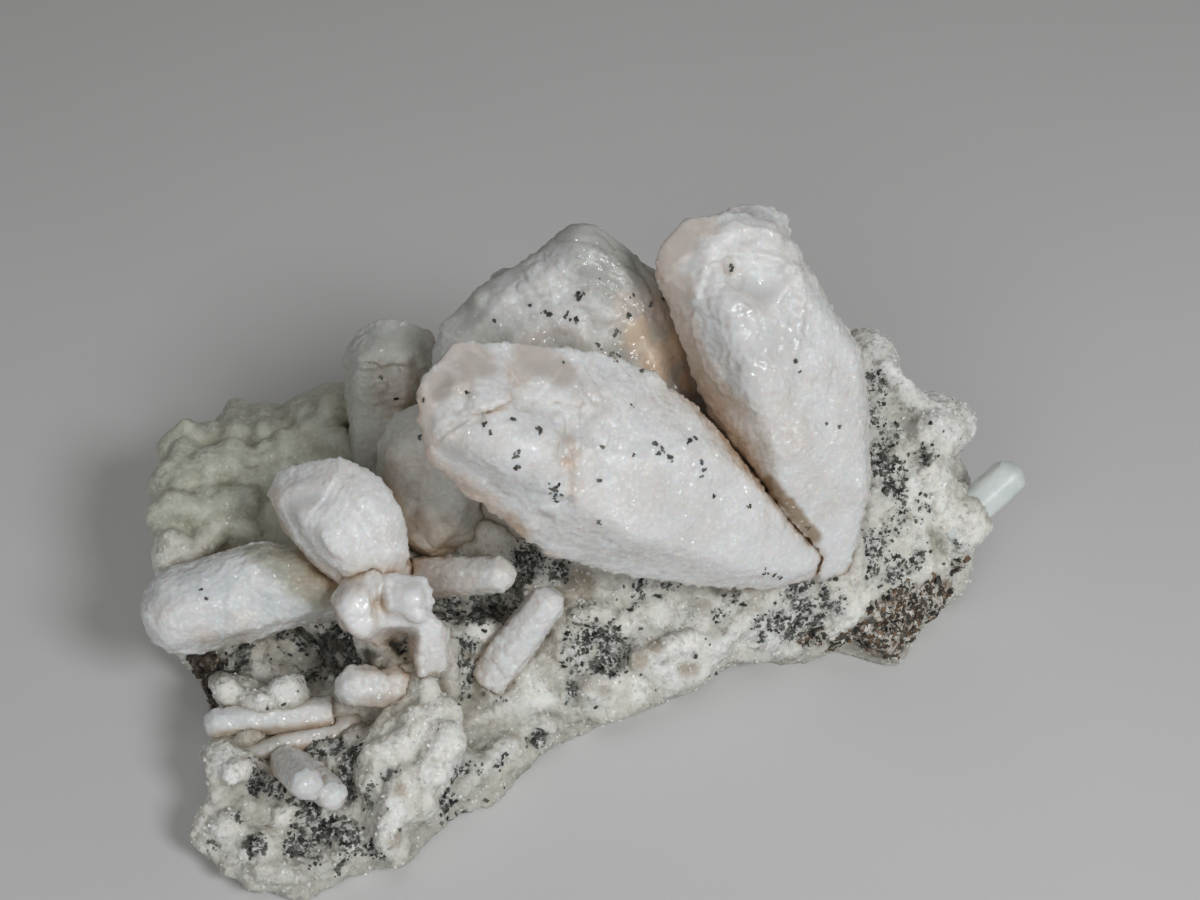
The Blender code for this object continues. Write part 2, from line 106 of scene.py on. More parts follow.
# Knobs that stand out of the crust. Pixels: from here, to here, and the radius at each end.
KNOBS = (
    # column and trunk below the bright pair of lobes
    (424, 640, 427, 672, 14, 13), (428, 692, 428, 692, 14, 14), (444, 712, 448, 716, 17, 15),
    (420, 722, 420, 722, 20, 20), (446, 742, 446, 742, 22, 22), (405, 742, 405, 742, 16, 16),
    (436, 768, 432, 772, 19, 17), (384, 752, 372, 756, 16, 13), (408, 778, 400, 788, 17, 15),
    (395, 805, 386, 838, 14, 13), (425, 800, 438, 842, 12, 9), (360, 738, 352, 745, 12, 10),
    (450, 645, 450, 672, 11, 11), (448, 690, 448, 690, 12, 12), (375, 778, 364, 784, 10, 9),
    # between the trunk and the front crystal
    (468, 628, 490, 630, 12, 12), (497, 662, 525, 672, 18, 14), (536, 690, 505, 705, 15, 12),
    (560, 700, 470, 722, 15, 11), (483, 690, 490, 692, 15, 13), (560, 625, 600, 614, 12, 12),
    (620, 625, 650, 610, 14, 13), (700, 590, 705, 615, 13, 12), (722, 640, 752, 614, 8, 10),
    (575, 650, 560, 655, 9, 8), (590, 690, 596, 682, 13, 12), (552, 724, 560, 728, 8, 7),
    (640, 660, 690, 640, 12, 12), (655, 690, 700, 670, 13, 11), (600, 715, 640, 700, 11, 12),
    (510, 745, 470, 775, 12, 12), (555, 735, 520, 760, 9, 9), (460, 790, 440, 805, 11, 9),
    # lower left rim
    (285, 692, 292, 688, 17, 15), (228, 690, 218, 680, 15, 9), (262, 670, 290, 674, 9, 9),
    (250, 700, 262, 702, 11, 10), (322, 735, 300, 742, 18, 14), (235, 772, 246, 768, 13, 12),
    (222, 828, 232, 822, 15, 14), (246, 806, 262, 800, 11, 12), (284, 818, 294, 812, 10, 9),
    (280, 838, 298, 842, 10, 9), (336, 868, 332, 880, 10, 8), (205, 858, 232, 866, 11, 11),
    (262, 872, 300, 876, 12, 10), (345, 815, 360, 810, 10, 9), (262, 745, 272, 752, 10, 9),
    (318, 618, 330, 625, 18, 15), (300, 598, 292, 610, 14, 10), (284, 640, 296, 645, 11, 9),
    (252, 655, 262, 660, 10, 8), (380, 655, 372, 668, 11, 9),
    # right slope
    (905, 470, 925, 560, 10, 9), (935, 490, 948, 558, 12, 10), (925, 470, 955, 505, 20, 17),
    (935, 425, 922, 440, 16, 12), (958, 425, 972, 480, 11, 10), (968, 500, 985, 540, 13, 9),
    (905, 395, 928, 410, 12, 11), (885, 365, 915, 400, 9, 9), (850, 610, 905, 582, 9, 9),
    (905, 582, 950, 560, 9, 9), (800, 645, 850, 618, 8, 8), (870, 500, 876, 535, 9, 9),
    (745, 655, 790, 650, 9, 8),
)
KNOB_SINK = 0.0

# Soft barrels of the left ridge and the grey lumps behind, given the same way
BARRELS = (
    (237, 412, 236, 436, 15, 15), (262, 412, 262, 432, 12, 11), (232, 452, 232, 468, 16, 15),
    (211, 470, 208, 480, 11, 10), (185, 452, 184, 486, 15, 16), (245, 482, 266, 478, 12, 12),
    (285, 440, 286, 470, 13, 11), (265, 446, 265, 458, 7, 7), (312, 432, 336, 440, 18, 17),
    (302, 410, 306, 418, 14, 12), (334, 406, 332, 414, 16, 15), (188, 430, 198, 438, 13, 12),
    (176, 505, 192, 510, 17, 15), (228, 500, 250, 500, 15, 14), (222, 522, 192, 558, 14, 13),
    (244, 528, 252, 532, 15, 13), (352, 456, 360, 470, 14, 14), (172, 540, 168, 560, 12, 12),
    (282, 515, 290, 520, 13, 12), (390, 460, 405, 480, 20, 18), (432, 505, 420, 525, 17, 14),
    (450, 535, 470, 545, 14, 12),
)
BARREL_SINK = 0.15

# Crust grown round the foot of the clear finger on the right, given the same way
COLLARS = ((936, 553, 967, 516, 19, 16), (966, 535, 978, 528, 15, 12),
           (958, 556, 976, 546, 14, 11), (945, 522, 956, 505, 12, 9))
COLLAR_SINK = 0.7

# Painted shadow in the crust's deep pockets, dark brown. Pixels: place and radius.
SHADED_POCKETS = ((342, 655, 36), (374, 662, 20), (316, 645, 26), (300, 632, 18), (388, 646, 12),
          (490, 604, 20), (515, 588, 14), (210, 655, 16))

# Hollows of the crust. Pixels: place, radius, and how far it goes in.
HOLLOWS = (
    (300, 655, 38, 16), (345, 650, 26, 16), (225, 660, 30, 14), (272, 622, 24, 14),
    (470, 605, 32, 16), (500, 595, 22, 14), (525, 565, 20, 12), (605, 655, 24, 7),
    (918, 460, 13, 9), (905, 470, 9, 7), (840, 560, 16, 4), (345, 765, 22, 6), (310, 840, 34, 5),
    (268, 785, 20, 5), (355, 430, 12, 9), (400, 650, 13, 8), (575, 700, 9, 5), (462, 655, 12, 7),
    (790, 615, 28, 4), (535, 737, 9, 4), (375, 430, 8, 7), (225, 548, 8, 6),
)

# Patches full of dark flecks. Pixels: place and radius; then how dense they are.
DARK_PATCHES = (
    (475, 603, 34, 1.0), (505, 590, 20, 1.0), (447, 612, 14, 0.8), (528, 565, 19, 1.0),
    (556, 572, 12, 0.8), (540, 552, 10, 0.6), (580, 640, 18, 0.7), (605, 640, 18, 0.9),
    (603, 662, 18, 1.0), (622, 655, 12, 0.7), (572, 663, 10, 0.6), (572, 693, 11, 0.9),
    (640, 588, 12, 0.6), (664, 586, 12, 0.8), (635, 612, 8, 0.9), (465, 650, 13, 0.9),
    (470, 668, 12, 0.8), (460, 690, 10, 0.5), (492, 685, 10, 0.6), (500, 640, 6, 0.9),
    (537, 736, 10, 1.0), (645, 714, 6, 0.7), (718, 618, 8, 0.5), (740, 598, 12, 0.5),
    (772, 570, 12, 0.5), (708, 642, 8, 0.3), (800, 598, 24, 0.9), (826, 600, 18, 0.9),
    (775, 630, 18, 1.0), (800, 620, 22, 1.0), (758, 622, 10, 0.6), (842, 555, 15, 0.8),
    (872, 548, 17, 0.7), (896, 570, 16, 0.7), (870, 575, 14, 0.6), (833, 575, 12, 0.6),
    (872, 382, 13, 0.9), (872, 412, 14, 0.7), (884, 440, 12, 0.7), (896, 432, 9, 0.7),
    (880, 462, 16, 0.7), (893, 485, 12, 0.7), (905, 500, 14, 0.6), (893, 528, 11, 0.6),
    (922, 512, 9, 0.6), (918, 560, 11, 0.6), (934, 446, 6, 0.6), (958, 543, 6, 1.0),
    (925, 455, 11, 0.9), (905, 470, 8, 0.9), (300, 640, 26, 0.6), (335, 645, 26, 0.9),
    (350, 665, 18, 1.0), (310, 668, 16, 0.8), (265, 615, 14, 0.7), (235, 655, 18, 0.8),
    (262, 778, 18, 0.7), (278, 785, 14, 0.9), (325, 750, 18, 0.9), (352, 755, 16, 0.9),
    (345, 785, 18, 0.9), (370, 795, 14, 0.7), (310, 805, 18, 0.9), (320, 830, 20, 0.9),
    (348, 838, 16, 0.8), (300, 850, 18, 0.8), (255, 845, 11, 1.0), (338, 855, 14, 0.6),
    (375, 850, 12, 0.6), (445, 800, 12, 0.7), (458, 815, 10, 0.8), (455, 775, 8, 0.6),
    (403, 645, 11, 0.8), (480, 768, 7, 0.7), (500, 760, 8, 0.5), (462, 770, 7, 0.6),
    (236, 818, 5, 0.8), (215, 845, 6, 0.8), (455, 560, 8, 0.7), (424, 555, 10, 0.9),
    (412, 500, 7, 0.8), (405, 440, 5, 0.5), (500, 700, 6, 0.5), (390, 775, 7, 0.8),
)

# The whitest places of the crust. Pixels: place and radius.
BRIGHT_PATCHES = (
    (928, 495, 34), (955, 450, 24), (965, 530, 22), (950, 410, 20), (440, 738, 28), (400, 748, 20),
    (432, 770, 18), (690, 640, 28), (722, 606, 14), (745, 640, 18), (850, 615, 16), (905, 585, 14),
    (660, 615, 14), (540, 690, 18), (480, 632, 12), (427, 655, 14), (640, 690, 16), (235, 695, 14),
    (300, 740, 14), (232, 775, 14), (320, 622, 14), (505, 668, 14), (285, 815, 12),
)

# Clear brownish places in the crust, and painted warm shade where they lie under the crystals.
# Pixels: place and radius.
BROWN_AND_SHADE_PATCHES = (
    (580, 585, 20), (560, 600, 14), (525, 582, 14), (655, 645, 13), (640, 662, 10), (690, 668, 12),
    (300, 702, 13), (385, 640, 14), (460, 530, 20), (440, 555, 16), (320, 600, 20), (400, 790, 8),
    (650, 690, 10), (395, 840, 12), (605, 690, 8),
)

# Granular dark and rusty rock along the right front edge. Pixels: place and radius.
ROCK_PATCHES = (
    (815, 642, 13), (842, 636, 15), (865, 632, 17), (885, 612, 18), (905, 602, 17), (930, 600, 19),
    (900, 632, 22), (930, 625, 22), (870, 645, 14), (890, 648, 14), (945, 590, 12), (958, 562, 8),
)
LEFT_ROCK_PATCHES = ((205, 660, 22), (195, 690, 22), (215, 655, 12), (208, 710, 10))

# Clear grey calcite grains that show in the crust. Pixels: place and radius.
CLEAR_GRAINS = (
    (588, 684, 9), (598, 686, 9), (514, 736, 8), (426, 832, 9), (484, 690, 12), (556, 724, 7),
    (706, 606, 9), (936, 574, 7), (945, 568, 6), (372, 842, 6), (640, 652, 6), (570, 610, 7),
)

# Dark specks on the crystals. Pixels: place and spread; then how many.
SPECKS = (
    (540, 430, 4, 9), (515, 420, 2.5, 4), (425, 400, 1, 1), (468, 393, 2, 3), (484, 424, 3, 4),
    (517, 453, 3, 5), (516, 468, 3.5, 7), (490, 432, 1, 1), (556, 492, 7, 20), (655, 444, 3, 5),
    (662, 452, 4, 8), (669, 458, 4, 8), (692, 441, 4, 9), (702, 462, 2, 4), (703, 470, 2.5, 5),
    (702, 476, 1.5, 3), (749, 505, 2.5, 5), (563, 362, 1, 1), (632, 406, 1.5, 2), (633, 455, 2, 2),
    (600, 524, 1.5, 2), (714, 497, 1.5, 2), (643, 371, 2, 3), (600, 481, 1, 1), (603, 448, 2, 2),
    (579, 297, 4, 9), (548, 314, 3.5, 7), (531, 304, 2, 2), (567, 317, 3, 5), (576, 320, 3, 5),
    (600, 279, 1, 1), (633, 295, 2.5, 4), (629, 315, 2.5, 5), (664, 299, 2.5, 5), (617, 333, 4, 5),
    (600, 346, 3, 4), (614, 357, 5, 8), (642, 371, 3, 4), (650, 303, 1.5, 2), (496, 321, 1.5, 2),
    (731, 267, 2.5, 4), (796, 363, 2.5, 4), (838, 427, 2.5, 3), (800, 372, 1, 1),
    (827, 424, 1, 1), (808, 528, 2, 3), (765, 572, 4, 6), (775, 578, 4, 5), (421, 437, 3, 6),
    (382, 377, 2, 3), (397, 400, 2, 2), (200, 590, 2, 2), (207, 598, 2, 2),
)

# How far a place looks round to tell whether it is closed in, in how many directions, and how
# far off the surface it starts
SHADE_REACH = 13.0
SHADE_RAYS = 4
RAY_START = 0.3

# How near a crystal the crust rises to meet it
COLLAR_REACH = 2.5

# Parts of the crust, by place in millimetres or by how far it faces down, each from none to all
RIDGE_LEFT = (-40, -30)
RIDGE_BACK = (2, 10)
UNDER_FACING = (0.55, 0.9)
UNDER_HEIGHT = (0.5, 3)
LOW_HEIGHT = (1, 11)

# Layers of lumps: size and height in millimetres, and the seed of their noise
RIDGE_LUMPS = (4.6, 0.7, 31)
CRUST_LUMPS = (3.4, 1.0, 32)
FINE_LUMPS = (1.5, 0.35, 35)
ROCK_LUMPS = (2.2, 0.8, 37)

# The crust's rise beside the crystals: distances over which it fades out, and heights
COLLAR_FADE = (0.4, 2.4)
COLLAR_RISE, COLLAR_LUMP_RISE = 0.35, 0.5

# How far the patches of dirt and of bare rock reach past their tables' radii
GRIT_SPREAD, STONE_SPREAD = 1.2, 1.3

# Sugary grains of the crystals: size and height in millimetres, and the seed
COARSE_SUGAR = (1.2, 0.13, 11)
FINE_SUGAR = (0.8, 0.1, 15)

# Seeds of the random draws
SHADE_SEED, GRAIN_SEED = 3, 7

# Numbers of scattered grains
FLECK_COUNT = 5200
DRUSE_COUNT = 3500
ROCK_GRAIN_COUNT = 2600


# Noise. It is worked out from whole-numbered cells, so that every run gives the same.

def cell_random(cells_at, seed):
    """Three random numbers from 0 to 1 for each whole-numbered cell."""
    grid = cells_at.astype(np.int64)
    mixed = grid[..., 0] * 73856093 ^ grid[..., 1] * 19349663 ^ grid[..., 2] * 83492791
    mixed = (mixed ^ (seed * 2654435761)) & 0xFFFFFFFF
    numbers = []
    for factor in (0x45D9F3B, 0x119DE1F3, 0x27D4EB2D):
        value = ((mixed >> 16) ^ mixed) * factor & 0xFFFFFFFF
        value = ((value >> 16) ^ value) * factor & 0xFFFFFFFF
        value = (value >> 15) ^ value
        numbers.append((value & 0xFFFF) / 65535.0)
    return np.stack(numbers, axis=-1)


def wave(places, size, seed=0):
    """Smooth noise from about -1 to 1 whose bumps are about one size apart."""
    scaled = places / size
    base = np.floor(scaled)
    part = scaled - base
    ease = part * part * part * (part * (part * 6 - 15) + 10)
    total = np.zeros(len(places))
    for corner in np.ndindex(2, 2, 2):
        step = np.array(corner)
        slope = cell_random(base + step, seed) * 2 - 1
        share = np.prod(np.where(step == 1, ease, 1 - ease), axis=1)
        total += share * np.sum(slope * (part - step), axis=1)
    return total * 1.6


def layers(places, size, seed=0, count=3, fade=0.5):
    """Noise in several layers, each finer and weaker than the last."""
    total = np.zeros(len(places))
    for level in range(count):
        total += fade ** level * wave(places, size / 2 ** level, seed + level * 17)
    return total


def cells(places, size, seed=0):
    """The scattered grain that each place is nearest to.

    Gives the distance to it and the offset from it, in grain sizes, and three random numbers
    that belong to it.
    """
    scaled = places / size
    base = np.floor(scaled)
    nearest = np.full(len(places), 9.0)
    offset = np.zeros_like(scaled)
    owner = np.zeros_like(scaled)
    for step in np.ndindex(3, 3, 3):
        cell = base + (np.array(step) - 1)
        away = scaled - cell - (0.1 + 0.8 * cell_random(cell, seed))
        distance = np.sum(away * away, axis=1)
        closer = distance < nearest
        nearest[closer] = distance[closer]
        offset[closer] = away[closer]
        owner[closer] = cell[closer]
    return np.sqrt(nearest), offset, cell_random(owner, seed + 5)


def sugar(places, size, seed=0):
    """Height of a surface of tiny crystals, each with a face that tilts its own way."""
    near, offset, chance = cells(places, size, seed)
    tilt = np.sum(offset * (chance * 2 - 1), axis=1) * 1.4
    return tilt + chance[:, 0] * 0.5 - near * 0.6


def lumps(places, size, seed=0):
    """Height of a surface of rounded knobs, from 0 in the creases to about 1 on top."""
    near, _, chance = cells(places, size, seed)
    round_top = np.sqrt(np.clip(1 - near * near * 1.1, 0, 1))
    return round_top * (0.6 + 0.4 * chance[:, 1])


def relief(places, layer):
    """A layer of lumps, as heights above and below their middle."""
    size, height, seed = layer
    return (lumps(places, size, seed) - 0.5) * height


def sugar_layer(places, layer):
    """A layer of tiny crystals, as heights."""
    size, height, seed = layer
    return sugar(places, size, seed) * height


def warped(places, size, amount):
    """Places shifted about by noise, so that what is built on them looks less even."""
    shift = [wave(places, size, seed) for seed in (51, 52, 53)]
    return places + np.stack(shift, axis=-1) * amount


def ease_between(value, low, high):
    """0 below low, 1 above high, and smooth between."""
    share = np.clip((value - low) / (high - low), 0, 1)
    return share * share * (3 - 2 * share)


def blend(first, second, share):
    """Colours from first to second, by each place's share."""
    return np.asarray(first) + (np.asarray(second) - np.asarray(first)) * share[:, None]


# Sight lines of the camera

CAMERA_FORWARD = np.array((
    0.0, math.cos(math.radians(CAMERA_ELEVATION)), -math.sin(math.radians(CAMERA_ELEVATION))))
CAMERA_UP = np.array((0.0, -CAMERA_FORWARD[2], CAMERA_FORWARD[1]))
CAMERA_RIGHT = np.array((1.0, 0.0, 0.0))
CAMERA_PLACE = np.array(CAMERA_TARGET) - CAMERA_FORWARD * CAMERA_DISTANCE


def seen_at(places):
    """Pixels of the photograph that places fall on."""
    away = places - CAMERA_PLACE
    depth = away @ CAMERA_FORWARD
    across = FRAME_WIDTH / 2 + FOCAL * (away @ CAMERA_RIGHT) / depth
    down = FRAME_HEIGHT / 2 - FOCAL * (away @ CAMERA_UP) / depth
    return np.stack((across, down), axis=-1)


def beside(line, pixels):
    """How far pixels lie from a bent line, above 0 on its right as one goes along it.

    The second result rises from 0 at the line's two ends.
    """
    nearest = np.full(len(pixels), np.inf)
    side = np.ones(len(pixels))
    for start, stop in zip(line[:-1], line[1:]):
        way = np.subtract(stop, start)
        off = pixels - start
        share = np.clip(off @ way / (way @ way), 0, 1)
        distance = np.linalg.norm(off - share[:, None] * way, axis=1)
        closer = distance < nearest
        nearest[closer] = distance[closer]
        side[closer] = np.where(way[0] * off[:, 1] > way[1] * off[:, 0], 1, -1)[closer]
    ends = np.minimum(*(np.linalg.norm(pixels - end, axis=1) for end in (line[0], line[-1])))
    return nearest * side, ends


def sight_line(u, v):
    """Direction in which a pixel of the photograph looks."""
    way = (
        CAMERA_FORWARD + CAMERA_RIGHT * (u - FRAME_WIDTH / 2) / FOCAL
        - CAMERA_UP * (v - FRAME_HEIGHT / 2) / FOCAL)
    return way / np.linalg.norm(way)


def pixel_size(place):
    """Millimetres that one pixel spans at a place."""
    return np.dot(place - CAMERA_PLACE, CAMERA_FORWARD) / FOCAL


def mesh_tree(*meshes):
    """Search tree over some meshes, in millimetres."""
    bm = bmesh.new()
    for mesh in meshes:
        bm.from_mesh(mesh)
    bmesh.ops.scale(bm, vec=(1 / MM,) * 3, verts=bm.verts)
    tree = BVHTree.FromBMesh(bm)
    bm.free()
    return tree


def look_at(tree, u, v, middle):
    """Place that a pixel shows on a tree's mesh, or else the nearest one to its sight line."""
    way = sight_line(u, v)
    place = tree.ray_cast(Vector(CAMERA_PLACE), Vector(way))[0]
    if place is None:
        place = tree.find_nearest(
            Vector(CAMERA_PLACE + way * np.linalg.norm(middle - CAMERA_PLACE)))[0]
    return np.array(place)


# Skins: fine meshes held as arrays of millimetres

def link(name, mesh):
    item = bpy.data.objects.new(name, mesh)
    bpy.context.scene.collection.objects.link(item)
    return item


class Skin:
    """A fine mesh over some nodes' solids and the balls that are joined to them."""

    def __init__(self, name, nodes, voxel, smooth, balls=()):
        bm = bmesh.new()
        for node in nodes:
            bm.from_mesh(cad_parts[node].data)
        bmesh.ops.remove_doubles(bm, verts=bm.verts, dist=1e-6)
        for place, radius in balls:
            made = bmesh.ops.create_icosphere(bm, subdivisions=2, radius=radius * MM)
            bmesh.ops.translate(bm, verts=made["verts"], vec=Vector(place) * MM)
        rough = bpy.data.meshes.new(name)
        bm.to_mesh(rough)
        bm.free()
        self.nodes = nodes
        self.item = link(name, rough)
        remesh = self.item.modifiers.new("skin", "REMESH")
        remesh.mode = "VOXEL"
        remesh.voxel_size = voxel * MM
        graph = bpy.context.evaluated_depsgraph_get()
        self.mesh = bpy.data.meshes.new_from_object(self.item.evaluated_get(graph))
        self.item.modifiers.clear()
        self.item.data = self.mesh
        bpy.data.meshes.remove(rough)
        self.count = len(self.mesh.vertices)
        edges = np.empty(len(self.mesh.edges) * 2, dtype=np.int32)
        self.mesh.edges.foreach_get("vertices", edges)
        self.edges = edges.reshape(-1, 2)
        self.degree = np.bincount(edges, minlength=self.count)
        places = np.empty(self.count * 3)
        self.mesh.vertices.foreach_get("co", places)
        self.places = places.reshape(-1, 3) / MM
        for _ in range(smooth):
            self.places = self.soften(self.places)
        self.update()
        self.middle = self.places.mean(axis=0)
        self.tree = mesh_tree(self.mesh)

    def soften(self, values):
        """Each vertex's values drawn halfway to its neighbours' mean."""
        first, last = self.edges[:, 0], self.edges[:, 1]
        total = np.empty_like(values)
        for axis in range(values.shape[1]):
            column = values[:, axis]
            total[:, axis] = (
                np.bincount(first, weights=column[last], minlength=self.count)
                + np.bincount(last, weights=column[first], minlength=self.count))
        return (values + total / self.degree[:, None]) / 2

    def update(self):
        """Write the places to the mesh and read its normals."""
        self.mesh.vertices.foreach_set("co", (self.places * MM).ravel())
        self.mesh.update()
        normals = np.empty(self.count * 3)
        self.mesh.vertices.foreach_get("normal", normals)
        self.normals = normals.reshape(-1, 3)

    def relax(self, weight, rounds):
        """Round off the places with a high weight."""
        for _ in range(rounds):
            self.places = self.places + (self.soften(self.places) - self.places) * weight[:, None]
        self.update()

    def push(self, height):
        """Move each vertex along its normal."""
        self.places = self.places + self.normals * height[:, None]
        self.update()

    def spot(self, u, v):
        return look_at(self.tree, u, v, self.middle)

    def near(self, u, v, radius, ragged=0.15):
        """How much each vertex lies within a ragged round patch given in pixels."""
        centre = self.spot(u, v)
        reach = radius * pixel_size(centre)
        distance = np.linalg.norm(self.places - centre, axis=1)
        mask = np.zeros(self.count)
        some = np.flatnonzero(distance < reach * 1.6)
        rough = wave(self.places[some], reach * 0.7, 3) * reach * ragged
        mask[some] = 1 - ease_between(distance[some] + rough, reach * 0.55, reach * 1.2)
        return mask

    def swell(self, rows):
        """Height of smooth bulges, each given by its place, radius in pixels and height."""
        height = np.zeros(self.count)
        for u, v, radius, rise in rows:
            centre = self.spot(u, v)
            reach = radius * pixel_size(centre) * 1.35
            share = 1 - ease_between(np.linalg.norm(self.places - centre, axis=1), 0, reach)
            pick = np.abs(share * rise) > np.abs(height)
            height[pick] = (share * rise)[pick]
        return height

    def ragged_pixels(self, size=1.4, amount=2.2):
        """The pixels that the vertices fall on, shifted about a little."""
        shift = [wave(self.places, size, seed) for seed in (81, 82)]
        return seen_at(self.places) + np.stack(shift, axis=-1) * amount

    def ledges(self, rows):
        """Height of steps, each given by its height, its fade in pixels and its line."""
        height = np.zeros(self.count)
        facing = ease_between(-(self.normals @ CAMERA_FORWARD), 0.0, 0.25)
        pixels = self.ragged_pixels()
        for rise, fade, line in rows:
            side, ends = beside(line, pixels)
            step = ease_between(side, -1.3, 1.3) * np.exp(-(side / fade) ** 2)
            height += rise * step * ease_between(ends, 0, fade * 0.7)
        return height * facing

    def streak(self, width, line):
        """How much each vertex lies on a ragged line of a given width in pixels."""
        facing = ease_between(-(self.normals @ CAMERA_FORWARD), -0.1, 0.1)
        side = beside(line, self.ragged_pixels())[0]
        return (1 - ease_between(np.abs(side), width * 0.4, width)) * facing

    def patches(self, rows):
        """The strongest of several patches at each vertex."""
        mask = np.zeros(self.count)
        for row in rows:
            u, v, radius = row[:3]
            strength = row[3] if len(row) > 3 else 1.0
            mask = np.maximum(mask, strength * self.near(u, v, radius))
        return mask

    def cavity(self, rounds=12):
        """How deep each vertex lies below its surroundings, in millimetres."""
        flat = self.places
        for _ in range(rounds):
            flat = self.soften(flat)
        return np.sum((flat - self.places) * self.normals, axis=1)

    def paint(self, name, values):
        """Keep a number or a colour for each vertex, for the material to read."""
        if values.ndim == 1:
            layer = self.mesh.attributes.new(name, "FLOAT", "POINT")
            layer.data.foreach_set("value", values.astype(np.float32))
        else:
            layer = self.mesh.attributes.new(name, "FLOAT_COLOR", "POINT")
            full = np.ones((self.count, 4), dtype=np.float32)
            full[:, :3] = values
            layer.data.foreach_set("color", full.ravel())

    def finish(self, material, slot):
        self.mesh.materials.clear()
        self.mesh.materials.append(material)
        self.mesh.shade_smooth()
        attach(self.item, "root")
        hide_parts(*self.nodes)


# Materials

class Recipe:
    """A Principled material built of nodes."""

    def __init__(self, name):
        self.material = bpy.data.materials.new(name)
        self.material.use_nodes = True
        self.tree = self.material.node_tree
        self.shader = self.tree.nodes["Principled BSDF"]
        self.coordinates = self.tree.nodes.new("ShaderNodeTexCoord").outputs["Object"]

    def feed(self, socket, value):
        if isinstance(value, bpy.types.NodeSocket):
            self.tree.links.new(value, socket)
        else:
            socket.default_value = value

    def math(self, operation, first, second=0.0):
        node = self.tree.nodes.new("ShaderNodeMath")
        node.operation = operation
        self.feed(node.inputs[0], first)
        self.feed(node.inputs[1], second)
        return node.outputs[0]

    def lean(self, normal, direction, amount):
        """A normal leant toward a direction, which is given as a colour."""
        off = self.tree.nodes.new("ShaderNodeVectorMath")
        off.operation = "SUBTRACT"
        self.feed(off.inputs[0], direction)
        off.inputs[1].default_value = (0.5, 0.5, 0.5)
        weigh = self.tree.nodes.new("ShaderNodeVectorMath")
        weigh.operation = "SCALE"
        self.feed(weigh.inputs[0], off.outputs[0])
        self.feed(weigh.inputs["Scale"], amount)
        add = self.tree.nodes.new("ShaderNodeVectorMath")
        self.feed(add.inputs[0], normal)
        self.feed(add.inputs[1], weigh.outputs[0])
        return add.outputs[0]

    def mix(self, share, first, second, kind="MIX"):
        node = self.tree.nodes.new("ShaderNodeMix")
        node.data_type = "RGBA"
        node.blend_type = kind
        self.feed(node.inputs["Factor"], share)
        self.feed(node.inputs[6], as_colour(first))
        self.feed(node.inputs[7], as_colour(second))
        return node.outputs[2]

    def noise(self, size, detail=3.0, roughness=0.5, distortion=0.0):
        node = self.tree.nodes.new("ShaderNodeTexNoise")
        self.feed(node.inputs["Vector"], self.coordinates)
        node.inputs["Scale"].default_value = 1.0 / (size * MM)
        node.inputs["Detail"].default_value = detail
        node.inputs["Roughness"].default_value = roughness
        node.inputs["Distortion"].default_value = distortion
        return node.outputs["Fac"]

    def grains(self, size, output="Color"):
        node = self.tree.nodes.new("ShaderNodeTexVoronoi")
        self.feed(node.inputs["Vector"], self.coordinates)
        node.inputs["Scale"].default_value = 1.0 / (size * MM)
        return node.outputs[output]

    def ramp(self, value, stops):
        node = self.tree.nodes.new("ShaderNodeValToRGB")
        self.feed(node.inputs[0], value)
        band = node.color_ramp
        while len(band.elements) < len(stops):
            band.elements.new(0.5)
        for element, (place, colour) in zip(band.elements, stops):
            element.position = place
            element.color = as_colour(colour)
        return node.outputs["Color"]

    def spread(self, value, low, high, to_low=0.0, to_high=1.0):
        node = self.tree.nodes.new("ShaderNodeMapRange")
        self.feed(node.inputs["Value"], value)
        for key, number in zip(
                ("From Min", "From Max", "To Min", "To Max"), (low, high, to_low, to_high)):
            node.inputs[key].default_value = number
        return node.outputs["Result"]

    def painted(self, name, output="Fac"):
        node = self.tree.nodes.new("ShaderNodeAttribute")
        node.attribute_name = name
        return node.outputs[output]

    def glinting(self, sizes_and_leans, amount):
        """A normal that each tiny crystal face leans its own way."""
        normal = self.tree.nodes.new("ShaderNodeNewGeometry").outputs["Normal"]
        for size, lean in sizes_and_leans:
            normal = self.lean(normal, self.grains(size), self.math("MULTIPLY", amount, lean))
        node = self.tree.nodes.new("ShaderNodeVectorMath")
        node.operation = "NORMALIZE"
        self.feed(node.inputs[0], normal)
        return node.outputs[0]

    def bump(self, height, distance, strength=1.0, normal=None):
        node = self.tree.nodes.new("ShaderNodeBump")
        node.inputs["Strength"].default_value = strength
        node.inputs["Distance"].default_value = distance * MM
        self.feed(node.inputs["Height"], height)
        if normal is not None:
            self.feed(node.inputs["Normal"], normal)
        return node.outputs["Normal"]

    def set(self, **values):
        for name, value in values.items():
            self.feed(self.shader.inputs[name.replace("_", " ")], as_colour(value))
        return self.material


def as_colour(value):
    """Three numbers made four; everything else as it is. Radii keep their three numbers."""
    if isinstance(value, tuple) and len(value) == 3:
        return (*value, 1.0)
    return value


